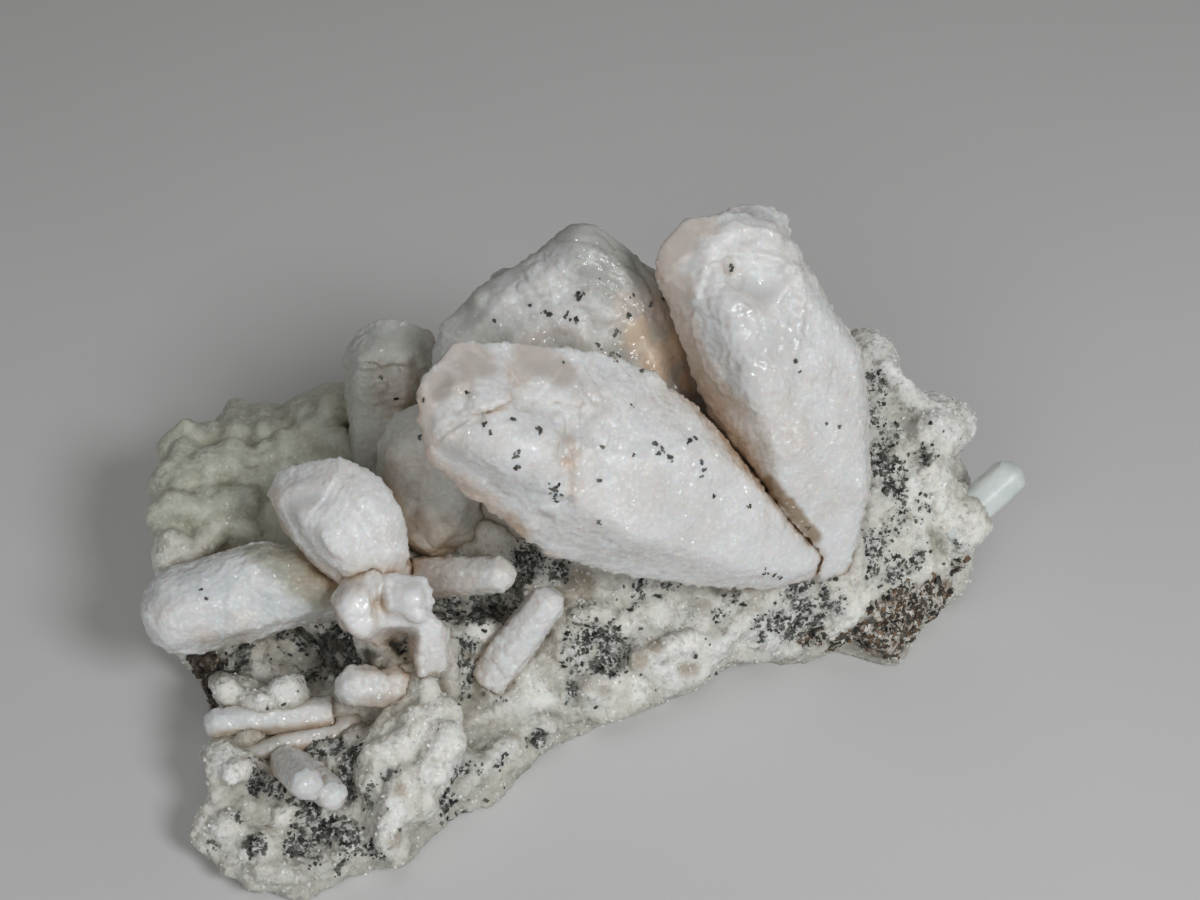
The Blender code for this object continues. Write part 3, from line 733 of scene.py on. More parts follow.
def calcite_material():
    """Milky calcite: sugary where it is dull, clean and smooth where it is glossy."""
    recipe = Recipe("milky calcite")
    gloss = recipe.painted("gloss")
    sugary = recipe.math("SUBTRACT", 1.0, gloss)
    colour = recipe.painted("tint", "Color")
    cloud = recipe.ramp(
        recipe.noise(3.5, 4.0, 0.6), ((0.3, (0.93, 0.93, 0.925)), (0.7, (1.0, 1.0, 1.0))))
    colour = recipe.mix(1.0, colour, cloud, "MULTIPLY")
    # Painted glints: the middle of each tiny grain lighter, as if it sparkled
    grain = recipe.ramp(
        recipe.grains(0.75, "Distance"),
        ((0.0, (1.1, 1.1, 1.1)), (0.16, (1.08, 1.08, 1.08)), (0.26, (0.97, 0.97, 0.965)),
         (0.8, (0.93, 0.925, 0.92))))
    colour = recipe.mix(sugary, colour, recipe.mix(1.0, colour, grain, "MULTIPLY"))
    lean = recipe.spread(gloss, 0.0, 1.0, 1.0, 0.25)
    sugary = recipe.math("MULTIPLY", sugary, recipe.spread(recipe.noise(7.0), 0.35, 0.6, 0.5, 1.0))
    facets = recipe.glinting(((0.9, 0.2), (0.5, 0.14)), sugary)
    fine = recipe.bump(recipe.noise(0.5, 2.0, 0.5), 0.04, 0.6, facets)
    recipe.set(
        Base_Color=colour,
        Roughness=recipe.spread(gloss, 0.0, 1.0, 0.45, 0.3),
        IOR=1.5,
        Subsurface_Weight=0.5,
        Subsurface_Scale=0.0025,
        Normal=fine,
        Coat_Weight=recipe.spread(gloss, 0.0, 1.0, 0.45, 0.8),
        Coat_Roughness=0.12,
        Coat_Normal=recipe.glinting(((0.8, 1.0), (0.42, 0.8)), lean))
    recipe.shader.inputs["Subsurface Radius"].default_value = (1.0, 0.6, 0.42)
    return recipe.material


def crust_material():
    """Druse: white grains, mottled grey and black in the dirty patches."""
    recipe = Recipe("drusy crust")
    grit = recipe.painted("grit")
    rock = recipe.painted("rock")
    colour = recipe.painted("tint", "Color")
    cloud = recipe.ramp(
        recipe.noise(4.0, 5.0, 0.65), ((0.3, (0.88, 0.87, 0.84)), (0.65, (1.0, 1.0, 1.0))))
    colour = recipe.mix(1.0, colour, cloud, "MULTIPLY")
    soot = recipe.ramp(
        recipe.noise(0.9, 3.0, 0.65, 0.3),
        ((0.37, (0.03, 0.034, 0.033)), (0.43, (0.13, 0.14, 0.135)), (0.49, (0.42, 0.43, 0.42)),
         (0.56, (0.68, 0.69, 0.66))))
    colour = recipe.mix(grit, colour, soot)
    stone = recipe.ramp(
        recipe.noise(1.5, 4.0, 0.7, 0.4),
        ((0.38, (0.03, 0.028, 0.024)), (0.45, (0.10, 0.085, 0.065)), (0.5, (0.26, 0.18, 0.12)),
         (0.55, (0.42, 0.38, 0.32)), (0.62, (0.62, 0.61, 0.56))))
    colour = recipe.mix(rock, colour, stone)
    gloss = recipe.painted("gloss")
    facets = recipe.glinting(((1.0, 0.6), (0.55, 0.5)), recipe.math("SUBTRACT", 1.0, gloss))
    normal = recipe.bump(recipe.noise(0.6, 4.0, 0.65), 0.16, 0.8, facets)
    clear = recipe.math("SUBTRACT", 1.0, recipe.math("MAXIMUM", grit, rock))
    recipe.set(
        Base_Color=colour,
        Roughness=recipe.spread(gloss, 0.0, 1.0, 0.55, 0.25),
        IOR=1.5,
        Subsurface_Weight=recipe.math("MULTIPLY", clear, 0.28),
        Subsurface_Scale=0.0018,
        Normal=normal,
        Coat_Weight=recipe.math("MULTIPLY", clear, 0.45),
        Coat_Roughness=0.18,
        Coat_Normal=recipe.glinting(((0.8, 0.9), (0.4, 0.7)), 1.0))
    recipe.shader.inputs["Subsurface Radius"].default_value = (1.0, 0.72, 0.5)
    return recipe.material


def grain_material(name, dark, light, roughness=0.45):
    """Small grains between two colours."""
    recipe = Recipe(name)
    colour = recipe.ramp(recipe.noise(1.8, 2.0), ((0.38, dark), (0.62, light)))
    return recipe.set(
        Base_Color=colour, Roughness=roughness, Normal=recipe.bump(recipe.noise(0.3), 0.05))


def prong_material(name, dark, light, clear):
    """Clearer calcite with soft clouds in it."""
    recipe = Recipe(name)
    cloud = recipe.spread(recipe.noise(2.5, 3.0), 0.35, 0.65)
    recipe.set(
        Base_Color=recipe.mix(cloud, dark, light),
        Roughness=0.4,
        IOR=1.55,
        Transmission_Weight=clear,
        Subsurface_Weight=0.5,
        Subsurface_Scale=0.002,
        Normal=recipe.bump(recipe.noise(0.8, 3.0), 0.12, 0.5))
    recipe.shader.inputs["Subsurface Radius"].default_value = (1.0, 0.95, 0.9)
    return recipe.material


# Scattered grains as joined meshes

BLOCK = np.array([(x, y, z) for x in (-1, 1) for y in (-1, 1) for z in (-1, 1)], dtype=float)
BLOCK_FACES = ((0, 1, 3, 2), (4, 6, 7, 5), (0, 4, 5, 1), (2, 3, 7, 6), (0, 2, 6, 4), (1, 5, 7, 3))


def scatter(skin, weight, count, generator):
    """Random places on a skin with its normals there, more of them where the weight is high."""
    mesh = skin.mesh
    mesh.calc_loop_triangles()
    corners = np.empty(len(mesh.loop_triangles) * 3, dtype=np.int32)
    mesh.loop_triangles.foreach_get("vertices", corners)
    corners = corners.reshape(-1, 3)
    first, second, third = (skin.places[corners[:, k]] for k in range(3))
    cross = np.cross(second - first, third - first)
    area = np.linalg.norm(cross, axis=1)
    share = area * weight[corners].mean(axis=1)
    pick = generator.choice(len(corners), size=count, p=share / share.sum())
    part = generator.random((count, 2))
    over = part.sum(axis=1) > 1
    part[over] = 1 - part[over]
    spots = (
        first[pick] + (second - first)[pick] * part[:, :1] + (third - first)[pick] * part[:, 1:])
    return spots, cross[pick] / area[pick][:, None]


def grain_mesh(name, spots, normals, sizes, generator, flat=0.5, long=1.0, lift=0.2, wild=0.45):
    """One mesh of small slanted blocks, each turned its own way on the skin."""
    count = len(spots)
    up = normals + generator.normal(size=(count, 3)) * wild
    up /= np.linalg.norm(up, axis=1)[:, None]
    side = np.cross(up, generator.normal(size=(count, 3)))
    side /= np.linalg.norm(side, axis=1)[:, None]
    ahead = np.cross(up, side)
    stretch = 1 + (long - 1) * generator.random(count)
    corner = BLOCK[None] * (1 + 0.22 * generator.normal(size=(count, 8, 3)))
    corner[..., 0] += corner[..., 2] * 0.35
    half = sizes[:, None] / 2
    vertices = (
        spots[:, None] + normals[:, None] * (sizes * lift)[:, None, None]
        + corner[..., 0:1] * (side * half * stretch[:, None])[:, None]
        + corner[..., 1:2] * (ahead * half * 0.8)[:, None]
        + corner[..., 2:3] * (up * half * flat)[:, None])
    vertices[..., 2] = np.maximum(vertices[..., 2], 0.0)
    faces = (np.array(BLOCK_FACES)[None] + np.arange(count)[:, None, None] * 8).reshape(-1, 4)
    mesh = bpy.data.meshes.new(name)
    mesh.from_pydata((vertices.reshape(-1, 3) * MM).tolist(), [], faces.tolist())
    mesh.update()
    return link(name, mesh)


def add_grains(name, material, slot, *details, **more):
    item = grain_mesh(name, *details, **more)
    item.data.materials.append(material)
    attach(item, "root")


# Camera, floor and lights

def make_camera():
    data = bpy.data.cameras.new("camera")
    data.lens = LENS
    data.sensor_width = SENSOR
    data.clip_start = 0.01
    data.clip_end = 10.0
    camera = link("camera", data)
    camera.location = Vector(CAMERA_PLACE * MM)
    camera.rotation_euler = (math.radians(90 - CAMERA_ELEVATION), 0, 0)
    bpy.context.scene.camera = camera


def area_light(name, place, size, power, colour):
    data = bpy.data.lights.new(name, "AREA")
    data.shape = "DISK"
    data.size = size
    data.energy = power
    data.color = colour
    light = link(name, data)
    light.location = place
    aim = Vector(LIGHT_AIM) - Vector(place)
    light.rotation_euler = aim.to_track_quat("-Z", "Y").to_euler()


def make_studio():
    """Pale floor, a soft key light from the front right, and three weaker lights round it."""
    scene = bpy.context.scene
    scene.view_settings.view_transform = "Standard"
    world = bpy.data.worlds.new("studio")
    scene.world = world
    world.use_nodes = True
    background = world.node_tree.nodes["Background"]
    background.inputs["Color"].default_value = WORLD_COLOUR
    background.inputs["Strength"].default_value = WORLD_STRENGTH
    for light in LIGHTS:
        area_light(*light)

    mesh = bpy.data.meshes.new("floor")
    bm = bmesh.new()
    bmesh.ops.create_grid(bm, x_segments=1, y_segments=1, size=FLOOR_HALF)
    bm.to_mesh(mesh)
    bm.free()
    floor = link("floor", mesh)
    recipe = Recipe("pale floor")
    recipe.set(
        Base_Color=recipe.mix(recipe.noise(60.0, 2.0), (0.66, 0.66, 0.66), (0.69, 0.69, 0.69)),
        Roughness=0.8)
    mesh.materials.append(recipe.material)


# The crust

def knob_balls(node, rows, sink):
    """Balls in a row for each knob, sunk into a node's solid."""
    tree = mesh_tree(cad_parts[node].data)
    low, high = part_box(node)
    middle = np.array((low + high) / 2) / MM
    balls = []
    for u0, v0, u1, v1, r0, r1 in rows:
        ends = []
        for u, v, radius in ((u0, v0, r0), (u1, v1, r1)):
            place = look_at(tree, u, v, middle)
            size = radius * pixel_size(place)
            ends.append((place + sight_line(u, v) * size * sink, size))
        (start, first), (stop, last) = ends
        count = 1 + math.ceil(np.linalg.norm(stop - start) / (0.45 * min(first, last)))
        for share in np.linspace(0, 1, count):
            balls.append((start + (stop - start) * share, first + (last - first) * share))
    return balls


def shape_crust(crystals):
    """The crust's skin, grown up to the crystals that stand in it."""
    balls = (
        knob_balls("matrix", KNOBS, KNOB_SINK) + knob_balls("matrix", BARRELS, BARREL_SINK)
        + knob_balls("prong_right", COLLARS, COLLAR_SINK))
    skin = Skin("crust", ["matrix"], CRUST_VOXEL, 4, balls)
    for u, v, radius, depth in HOLLOWS:
        inward = sight_line(u, v) * depth * pixel_size(skin.middle)
        skin.places = skin.places + inward * skin.near(u, v, radius)[:, None]
    skin.update()

    places = skin.places
    under = ease_between(-skin.normals[:, 2], *UNDER_FACING)
    under = under * (1 - ease_between(places[:, 2], *UNDER_HEIGHT))
    left = 1 - ease_between(places[:, 0], *RIDGE_LEFT)
    ridge = left * ease_between(places[:, 1], *RIDGE_BACK)
    skin.push(relief(warped(places, 4, 1.0), RIDGE_LUMPS) * ridge * (1 - under))
    strength = 0.45 + 0.55 * ease_between(wave(skin.places, 14, 8), -0.3, 0.4)
    knobby = warped(skin.places, 4, 1.2)
    skin.push(relief(knobby, CRUST_LUMPS) * (1 - ridge) * strength)
    skin.push(relief(skin.places, FINE_LUMPS) * (1 - ridge * 0.8))

    gap = np.full(skin.count, 99.0)
    joined = mesh_tree(*(crystal.mesh for crystal in crystals))
    for index, place in enumerate(skin.places.tolist()):
        found = joined.find_nearest(place, COLLAR_REACH)
        if found[0] is not None:
            gap[index] = found[3]
    collar = 1 - ease_between(gap, *COLLAR_FADE)
    skin.push(collar * (COLLAR_RISE + COLLAR_LUMP_RISE * lumps(skin.places, 1.7, 36)))
    broken = ease_between(layers(skin.places, 2.6, 61, 2), -0.5, 0.1)
    grit = broken * skin.patches(
        [(u, v, radius * GRIT_SPREAD, much) for u, v, radius, much in DARK_PATCHES])
    skin.push(sugar(skin.places, 1.3, 33) * (0.24 + 0.26 * grit) * (1 - ridge * 0.7))
    skin.push(relief(skin.places, ROCK_LUMPS) * skin.patches(ROCK_PATCHES))
    skin.places[:, 2] = np.maximum(skin.places[:, 2], 0.0)
    skin.update()

    crease = np.clip(skin.cavity() * 1.4, 0, 1)
    sunk = ease_between(skin.cavity(90), -0.3, 1.0)
    brown = skin.patches(BROWN_AND_SHADE_PATCHES)
    dark_rock = skin.patches(LEFT_ROCK_PATCHES)
    stone = skin.patches([(u, v, radius * STONE_SPREAD) for u, v, radius in ROCK_PATCHES])
    rock = np.maximum(np.maximum(stone, dark_rock), under * 0.7)
    glassy = skin.patches(CLEAR_GRAINS)
    tint = blend(SNOW, CREAM, ease_between(layers(skin.places, 11, 41), -0.4, 0.4))
    tint = blend(tint, GREY, 0.3 * ease_between(layers(skin.places, 6, 42), 0.0, 0.5))
    # Painted shade: greyer where the crust sinks below its wide surroundings
    tint = blend(tint, GREY, sunk * 0.5)
    tint = blend(tint, SAGE, ridge * 0.85)
    # Olive in the creases: a stain there, and painted shade
    tint = blend(tint, OLIVE, crease * (0.4 + 0.4 * ridge))
    # Clear brownish crust, and painted warm shade under the crystals
    tint = blend(tint, BROWN, brown * 0.6)
    low = 1 - ease_between(skin.places[:, 2], *LOW_HEIGHT)
    tint = blend(tint, LOW_RIM, low * 0.7)
    # Painted shadow: the deep pockets made dark brown, broken up by noise
    deep = skin.patches(SHADED_POCKETS) * ease_between(layers(skin.places, 2.4, 66, 2), -0.75, -0.1)
    tint = blend(tint, SHADOW, deep * 0.92)
    bright = skin.patches(BRIGHT_PATCHES)
    tint = blend(tint, BRIGHT, bright * 0.95)
    skin.tint = blend(tint, CLEAR_GRAIN, glassy * 0.8) * CRUST_CAST
    # How much painted shade each place takes, less on the whitest places
    skin.shade = np.outer(1 - 0.6 * bright, CRUST_SHADE)
    # The grey and black mottling is left out where the pockets' shadow is painted
    skin.paint("grit", np.clip(grit, 0, 0.9) * (1 - 0.92 * deep))
    skin.paint("rock", rock)
    skin.paint("gloss", np.maximum(glassy, 0.5 * ridge))
    skin.grit, skin.rock, skin.ridge, skin.under = grit, rock, ridge, under
    skin.stone, skin.dark_rock = stone, dark_rock
    return skin


# The crystals. Places, radii, rows and columns in these tables are pixels, and heights, shifts
# and depths are millimetres. What a look leaves out is as PLAIN_LOOK has it.
# round: rounds of smoothing, less where keep says and on faces turned away, unless round_all.
# calm: patches smoothed for calm_rounds more. swell: place, radius and height of broad bulges
# and hollows. broad, edge, grain: heights of wide relief, of the rim's and of the sugar's.
# ledges: height, fade and line of growth steps. ripples: patches of fine wavy relief.
# bands: middle, spacing, height and patches of the edges of growth layers. beads: size, height
# and patches of small knobs. base, clouds: the two colours all over. tints: colour, strength
# and patches. streaks: colour, strength, width and line. gloss: patches of clean faces with
# their strength, and even_gloss the same all over. clear: how much darker clean faces are.
# stem and gap: the columns between which a stem stands apart, by how much, and how deep.

PLAIN_LOOK = {
    "voxel": SMALL_VOXEL, "round_all": 0.0, "keep": (), "calm": (), "calm_rounds": 40,
    "swell": (), "ledges": (), "ripples": (), "bands": (), "beads": (), "base": SNOW,
    "clouds": MILKY, "tints": (), "streaks": (), "gloss": (), "even_gloss": 0.0, "clear": 0.2,
    "rim_glow": 0.0, "stem_shift": 0.0, "stem_rows": (0, 1), "stem_columns": (0, 1),
    "gap_rows": (0, 1), "gap_depth": 0.0,
}

FRONT = {
    "node": "crystal_front", "slot": "pink_crystal", "voxel": CRYSTAL_VOXEL, "round": 26,
    "clear": 0.25,
    "keep": ((452, 352, 26), (475, 362, 28), (440, 385, 22), (535, 360, 28), (560, 372, 24)),
    "broad": 0.45, "grain": 0.75, "edge": 0.6, "rim_glow": 0.6,
    "swell": (
        (505, 455, 50, 1.5), (560, 405, 14, -0.8), (566, 430, 16, -1.0), (568, 455, 17, -1.1),
        (568, 480, 17, -1.1), (560, 502, 17, -1.0), (540, 516, 14, -0.7), (455, 396, 16, 0.6),
        (475, 398, 14, 0.6), (612, 400, 30, 0.9), (690, 440, 60, 0.7), (640, 530, 60, 0.8),
        (740, 540, 50, 0.6), (520, 404, 16, -0.6), (610, 460, 24, -0.4), (600, 352, 14, 0.6),
        (660, 380, 14, 0.6), (480, 480, 22, 0.6)),
    "tints": (
        (PEACH, 0.9, ((452, 352, 22), (475, 362, 26), (440, 385, 20), (462, 385, 16),
                      (535, 360, 26), (560, 372, 22), (425, 410, 13), (515, 375, 18),
                      (430, 440, 14), (440, 465, 14), (462, 482, 12), (490, 500, 10))),
        (PEACH, 0.3, ((566, 455, 20), (590, 500, 20), (640, 490, 34), (590, 400, 26),
                      (450, 440, 22))),
        # Painted glow of light through the underside and left edge on the crystal's own pink, and
        # warm shade in the groove
        (PEACH, 0.9, ((500, 525, 24), (545, 562, 14), (480, 500, 14))),
        (AMBER_GLOW, 0.6, ((518, 530, 16), (505, 516, 11), (530, 550, 14), (508, 540, 14),
                      (566, 462, 7), (420, 440, 8), (424, 462, 8))),
    ),
    "gloss": ((452, 352, 22, 0.8), (475, 362, 26, 0.8), (440, 385, 20, 0.9), (535, 360, 26, 0.8),
              (560, 372, 22, 0.7), (425, 420, 14, 0.8), (455, 450, 16, 0.6), (590, 400, 24, 0.4),
              (575, 435, 22, 0.4), (520, 535, 15, 0.7)),
    "bands": ((495, 395, 2.4, 0.4, ((590, 385, 34), (602, 425, 30), (575, 430, 26))),
              (470, 340, 3.6, 0.35, ((470, 370, 40), (540, 370, 30)))),
    "ledges": (
        (0.35, 30, ((425, 424), (440, 419), (470, 408), (497, 395))),
        (0.4, 24, ((603, 348), (598, 375), (586, 394), (594, 408), (584, 422), (562, 430),
                   (556, 444))),
        (0.7, 24, ((567, 440), (573, 462), (571, 490), (560, 506), (545, 520))),
        (0.4, 16, ((436, 442), (458, 428), (480, 418))),
        (0.4, 20, ((648, 385), (636, 402), (612, 425), (602, 452)))),
    "streaks": (
        # Painted glow of light through the thin edges on the crystal's own pink, and painted warm
        # shade in the groove
        (PEACH, 0.9, 15, ((420, 395), (417, 420), (424, 445), (433, 468), (450, 478), (470, 490),
                          (487, 503), (500, 515), (503, 530), (510, 548), (522, 560))),
        (AMBER_GLOW, 0.4, 8, ((418, 400), (416, 420), (422, 445), (431, 468), (450, 480), (470, 492),
                         (487, 505), (500, 520), (504, 536), (512, 552), (524, 562))),
        (AMBER_GLOW, 0.55, 12, ((512, 520), (520, 543), (538, 560))),
        (AMBER_GLOW, 0.3, 6, ((570, 440), (574, 462), (571, 492)))),
}
RIGHT = {
    "node": "crystal_right", "slot": "pink_crystal", "voxel": CRYSTAL_VOXEL, "round": 40,
    "clear": 0.13,
    "keep": ((680, 240, 26), (675, 275, 22), (700, 225, 18)),
    "calm": ((764, 205, 26), (782, 220, 16), (745, 202, 14)), "calm_rounds": 160,
    "broad": 0.45, "grain": 0.75, "edge": 0.45, "rim_glow": 0.4,
    "swell": (
        (765, 284, 26, -1.5), (740, 276, 18, -1.3), (795, 300, 20, -1.0), (731, 267, 8, -1.8),
        (712, 250, 14, 0.8), (728, 238, 16, 0.9), (748, 234, 16, 0.9), (770, 238, 16, 0.9),
        (795, 252, 16, 0.8), (812, 280, 14, 0.6), (735, 350, 26, 0.4),
        (765, 385, 34, 0.8), (815, 360, 28, 0.6), (800, 440, 34, 0.7), (850, 440, 24, 0.5)),
    "tints": (
        (PEACH, 0.95, ((675, 245, 26), (665, 270, 18), (680, 290, 20), (690, 320, 16),
                       (698, 345, 14), (708, 370, 18), (722, 392, 20), (700, 225, 18),
                       (740, 405, 14))),
        (PEACH, 0.35, ((790, 440, 30), (770, 410, 26), (810, 480, 26), (760, 300, 20),
                       (830, 510, 18))),
        # Amber on the left flank: painted warm glow where it lies in shade
        (AMBER_GLOW, 0.4, ((702, 400, 10), (692, 345, 8))),
    ),
    "gloss": ((675, 250, 28, 0.9), (690, 225, 18, 0.8), (680, 290, 18, 0.8), (760, 214, 18, 0.8),
              (700, 360, 18, 0.7), (735, 310, 28, 0.9),
              (765, 290, 24, 0.8), (722, 345, 20, 0.9), (760, 350, 30, 0.9), (745, 385, 24, 0.8),
              (795, 335, 22, 0.8), (715, 390, 20, 0.6)),
    "ledges": (
        (0.7, 13, ((792, 276), (775, 262), (745, 256), (725, 258), (709, 264), (703, 290))),
        (0.45, 12, ((735, 214), (744, 225), (768, 228), (786, 236))),
        (0.4, 18, ((742, 405), (722, 392), (705, 372), (697, 345), (690, 318), (700, 300))),
        (0.3, 16, ((800, 262), (806, 300), (800, 345), (790, 385)))),
    "streaks": (
        # Peach and amber along the left edge: painted glow of light through the thin edge, on the
        # crystal's own pink
        (PEACH, 0.8, 16, ((660, 250), (668, 285), (684, 320), (692, 350), (700, 380), (722, 402))),
        (AMBER_GLOW, 0.35, 7, ((656, 262), (670, 300), (686, 330), (695, 360), (702, 385),
                          (722, 408))),
        # Brown in the slit between this crystal and the front one: painted shadow
        (BROWN, 0.95, 10, ((768, 482), (781, 497), (796, 514), (808, 528), (815, 537)))),
    "ripples": ((735, 310, 30), (722, 345, 24), (760, 350, 34), (745, 385, 28), (795, 335, 26),
                (770, 400, 26), (800, 300, 20), (820, 380, 24), (790, 440, 24)),
}
BACK = {
    "node": "crystal_back", "slot": "pink_crystal", "voxel": CRYSTAL_VOXEL, "round": 22,
    "ripples": ((545, 285, 36), (600, 310, 34)),
    "calm": ((583, 230, 8),),
    "ledges": (
        (0.35, 12, ((556, 240), (590, 246), (615, 257), (640, 278), (656, 302))),
        (0.35, 12, ((566, 258), (598, 264), (622, 280), (640, 302))),
        (0.3, 10, ((580, 276), (600, 283), (618, 299))),
        (0.35, 16, ((615, 338), (640, 314), (660, 322), (668, 345)))),
    "broad": 0.35, "grain": 0.4, "edge": 0.3,
    "base": (0.54, 0.552, 0.523), "clouds": (0.61, 0.62, 0.60),
    "swell": ((545, 285, 34, 0.8), (600, 300, 26, 0.5), (500, 300, 24, 0.6), (640, 340, 26, -0.6),
              (580, 242, 42, 1.9), (575, 330, 20, 0.6), (500, 272, 26, 3.6), (480, 300, 14, 1.2)),
    "tints": (
        (SNOW, 0.6, ((545, 285, 34), (510, 300, 30), (575, 315, 30), (605, 325, 22),
                     (530, 325, 26), (555, 262, 18))),
        (PEACH, 0.7, ((630, 310, 24), (660, 310, 24))),
        # Lower right, in the shade of the right crystal: painted warm glow of light through the
        # calcite
        (WARM, 0.88, ((640, 338, 22), (660, 362, 26), (682, 345, 20), (690, 380, 16))),
    ),
    "gloss": ((610, 250, 44, 0.7), (560, 245, 30, 0.7), (500, 275, 26, 0.6), (640, 330, 30, 0.6),
              (470, 310, 24, 0.6)),
    "bands": ((560, 330, 1.7, 0.35, ((635, 262, 36), (655, 300, 26), (600, 245, 26))),),
    "beads": ((2.3, 0.55, ((545, 285, 30), (520, 300, 24), (575, 315, 26), (605, 330, 20))),),
}
EGG = {
    "node": "crystal_left_upright", "slot": "white_crystal", "round": 34,
    "broad": 0.25, "grain": 0.55, "edge": 0.45, "rim_glow": 0.4,
    "swell": ((300, 500, 24, 0.4), (365, 500, 24, 0.5), (400, 530, 14, 0.3)),
    "tints": (
        (PEACH, 0.8, ((274, 495, 12), (282, 525, 13), (298, 550, 13), (320, 568, 14),
                      (345, 582, 12), (362, 588, 8))),
    ),
    "gloss": ((305, 500, 26, 0.5), (400, 530, 14, 0.4)),
    # Amber along the lower edge: painted glow of light through the thin edge
    "streaks": ((AMBER_GLOW, 0.35, 5, ((268, 490), (275, 515), (290, 545), (312, 568), (340, 586))),),
    "bands": ((300, 480, 1.3, 0.12, ((350, 500, 40), (370, 540, 40), (325, 550, 30))),
              (285, 470, 5.5, 0.4, ((335, 500, 30), (320, 540, 24)))),
}
LOBES = {
    "node": "crystal_left_small", "slot": "white_crystal", "round": 22,
    "round_all": 0.6, "ripples": ((352, 608, 24), (390, 590, 14)),
    "broad": 0.25, "grain": 0.4, "edge": 0.3, "rim_glow": 0.35,
    "swell": ((348, 606, 24, 1.3), (378, 602, 8, -0.8), (385, 582, 14, 0.9), (415, 600, 18, 0.9),
              (364, 626, 18, 1.6), (417, 612, 12, 1.2)),
    "tints": ((PEACH, 0.35, ((340, 620, 20), (360, 636, 12))),
              (BRIGHT, 0.8, ((352, 608, 26), (362, 626, 16), (385, 582, 12)))),
    "gloss": ((352, 608, 26, 0.9), (385, 582, 14, 1.0), (405, 590, 20, 0.4)),
    "stem_shift": 4.4, "stem_rows": (604, 630), "stem_columns": (374, 392),
    "gap_rows": (624, 642), "gap_depth": 7.0, "clear": 0.0,
    "ledges": (
        (0.5, 9, ((372, 578), (367, 596), (371, 616))),
        (0.5, 9, ((382, 576), (380, 596), (383, 618))),
        (0.4, 8, ((392, 584), (391, 604), (394, 620)))),
    # Amber along the lower edge: painted glow of light through the thin edge
    "streaks": ((AMBER_GLOW, 0.35, 4, ((332, 600), (338, 620), (352, 636), (374, 643))),),
    "bands": ((430, 600, 1.2, 0.12, ((352, 608, 28),)),),
    "beads": ((2.2, 1.3, ((425, 660, 30), (410, 650, 16))), (1.8, 0.6, ((430, 600, 14),))),
}
LYING = {
    "node": "crystal_left_lying", "slot": "white_crystal", "round": 110,
    "round_all": 1.0,
    "broad": 0.9, "grain": 0.7, "edge": 0.3, "rim_glow": 0.2, "clouds": ICE,
    "swell": ((190, 605, 34, 0.8), (225, 620, 26, 0.6), (250, 570, 24, 0.4)),
    "tints": (
        (SAGE, 0.95, ((300, 565, 36), (275, 555, 26), (320, 590, 24), (255, 550, 18))),
        (BROWN, 0.35, ((310, 585, 22), (235, 640, 20), (210, 640, 14))),
        (PEACH, 0.4, ((160, 610, 14), (240, 625, 20), (205, 635, 16))),
    ),
    "gloss": ((200, 590, 30, 0.3),),
    "beads": ((2.0, 0.3, ((200, 600, 44), (240, 590, 30))),),
}
MIDDLE = {
    "node": "crystal_middle_left", "slot": "grey_crystal", "round": 30,
    "broad": 0.8, "grain": 0.6, "edge": 0.2,
    "base": (0.66, 0.67, 0.63), "clouds": (0.74, 0.74, 0.71),
    "swell": ((390, 455, 20, 0.5), (405, 490, 18, 0.5), (440, 520, 20, 0.5)),
    "tints": ((BROWN, 0.45, ((440, 530, 22), (450, 550, 18), (420, 520, 14))),
              (PEACH, 0.3, ((410, 470, 30),))),
    "beads": ((3.6, 1.9, ((430, 530, 50), (400, 500, 30))),),
}
FAR_LEFT = {
    "node": "crystal_back_left", "slot": "grey_crystal", "round": 30,
    "broad": 0.6, "grain": 0.5, "edge": 0.2,
    "base": (0.575, 0.59, 0.555), "clouds": (0.64, 0.655, 0.625),
    "swell": ((375, 378, 16, 0.6), (395, 362, 30, -0.5)),
    "tints": ((BROWN, 0.4, ((390, 395, 24), (380, 370, 14), (410, 375, 16))),),
    "gloss": ((390, 340, 30, 0.4),),
    "bands": ((380, 300, 1.3, 0.15, ((385, 390, 28),)),),
    "ledges": ((0.8, 22, ((414, 367), (392, 364), (372, 370), (352, 368))),),
    "beads": ((3.2, 0.8, ((375, 390, 20), (400, 400, 20))),),
}


def finger(node, tint, gloss=0.1, round_off=6, slot="white_crystal", beads=()):
    """The look of a small finger of one colour."""
    return {
        "node": node, "slot": slot, "round": round_off, "broad": 0.2, "grain": 0.6, "edge": 0.3,
        "rim_glow": 0.1, "clouds": tint, "even_gloss": gloss, "beads": beads}


LOOKS = {
    "front_crystal": FRONT, "right_crystal": RIGHT, "back_crystal": BACK, "egg_crystal": EGG,
    "lobed_crystal": LOBES, "lying_crystal": LYING, "middle_crystal": MIDDLE,
    "far_left_crystal": FAR_LEFT,
    "finger_horizontal": finger("prong_horizontal", CREAM),
    "finger_upright": finger("prong_upright", SNOW, beads=((1.9, 0.9, ((428, 660, 60),)),)),
    "finger_stub": finger("prong_stub", CREAM, round_off=10),
    "finger_left_long": finger("prong_left_long", ICE, 0.2),
    "finger_left_low": finger("prong_left_low", GREY, 0.5),
    "finger_left_short": finger("prong_left_short", ICE, 0.3),
    "finger_pair": finger("prong_pair", ICE),
    "finger_right": finger("prong_right", ICE, 0.9, 24, "clear_prong"),
}


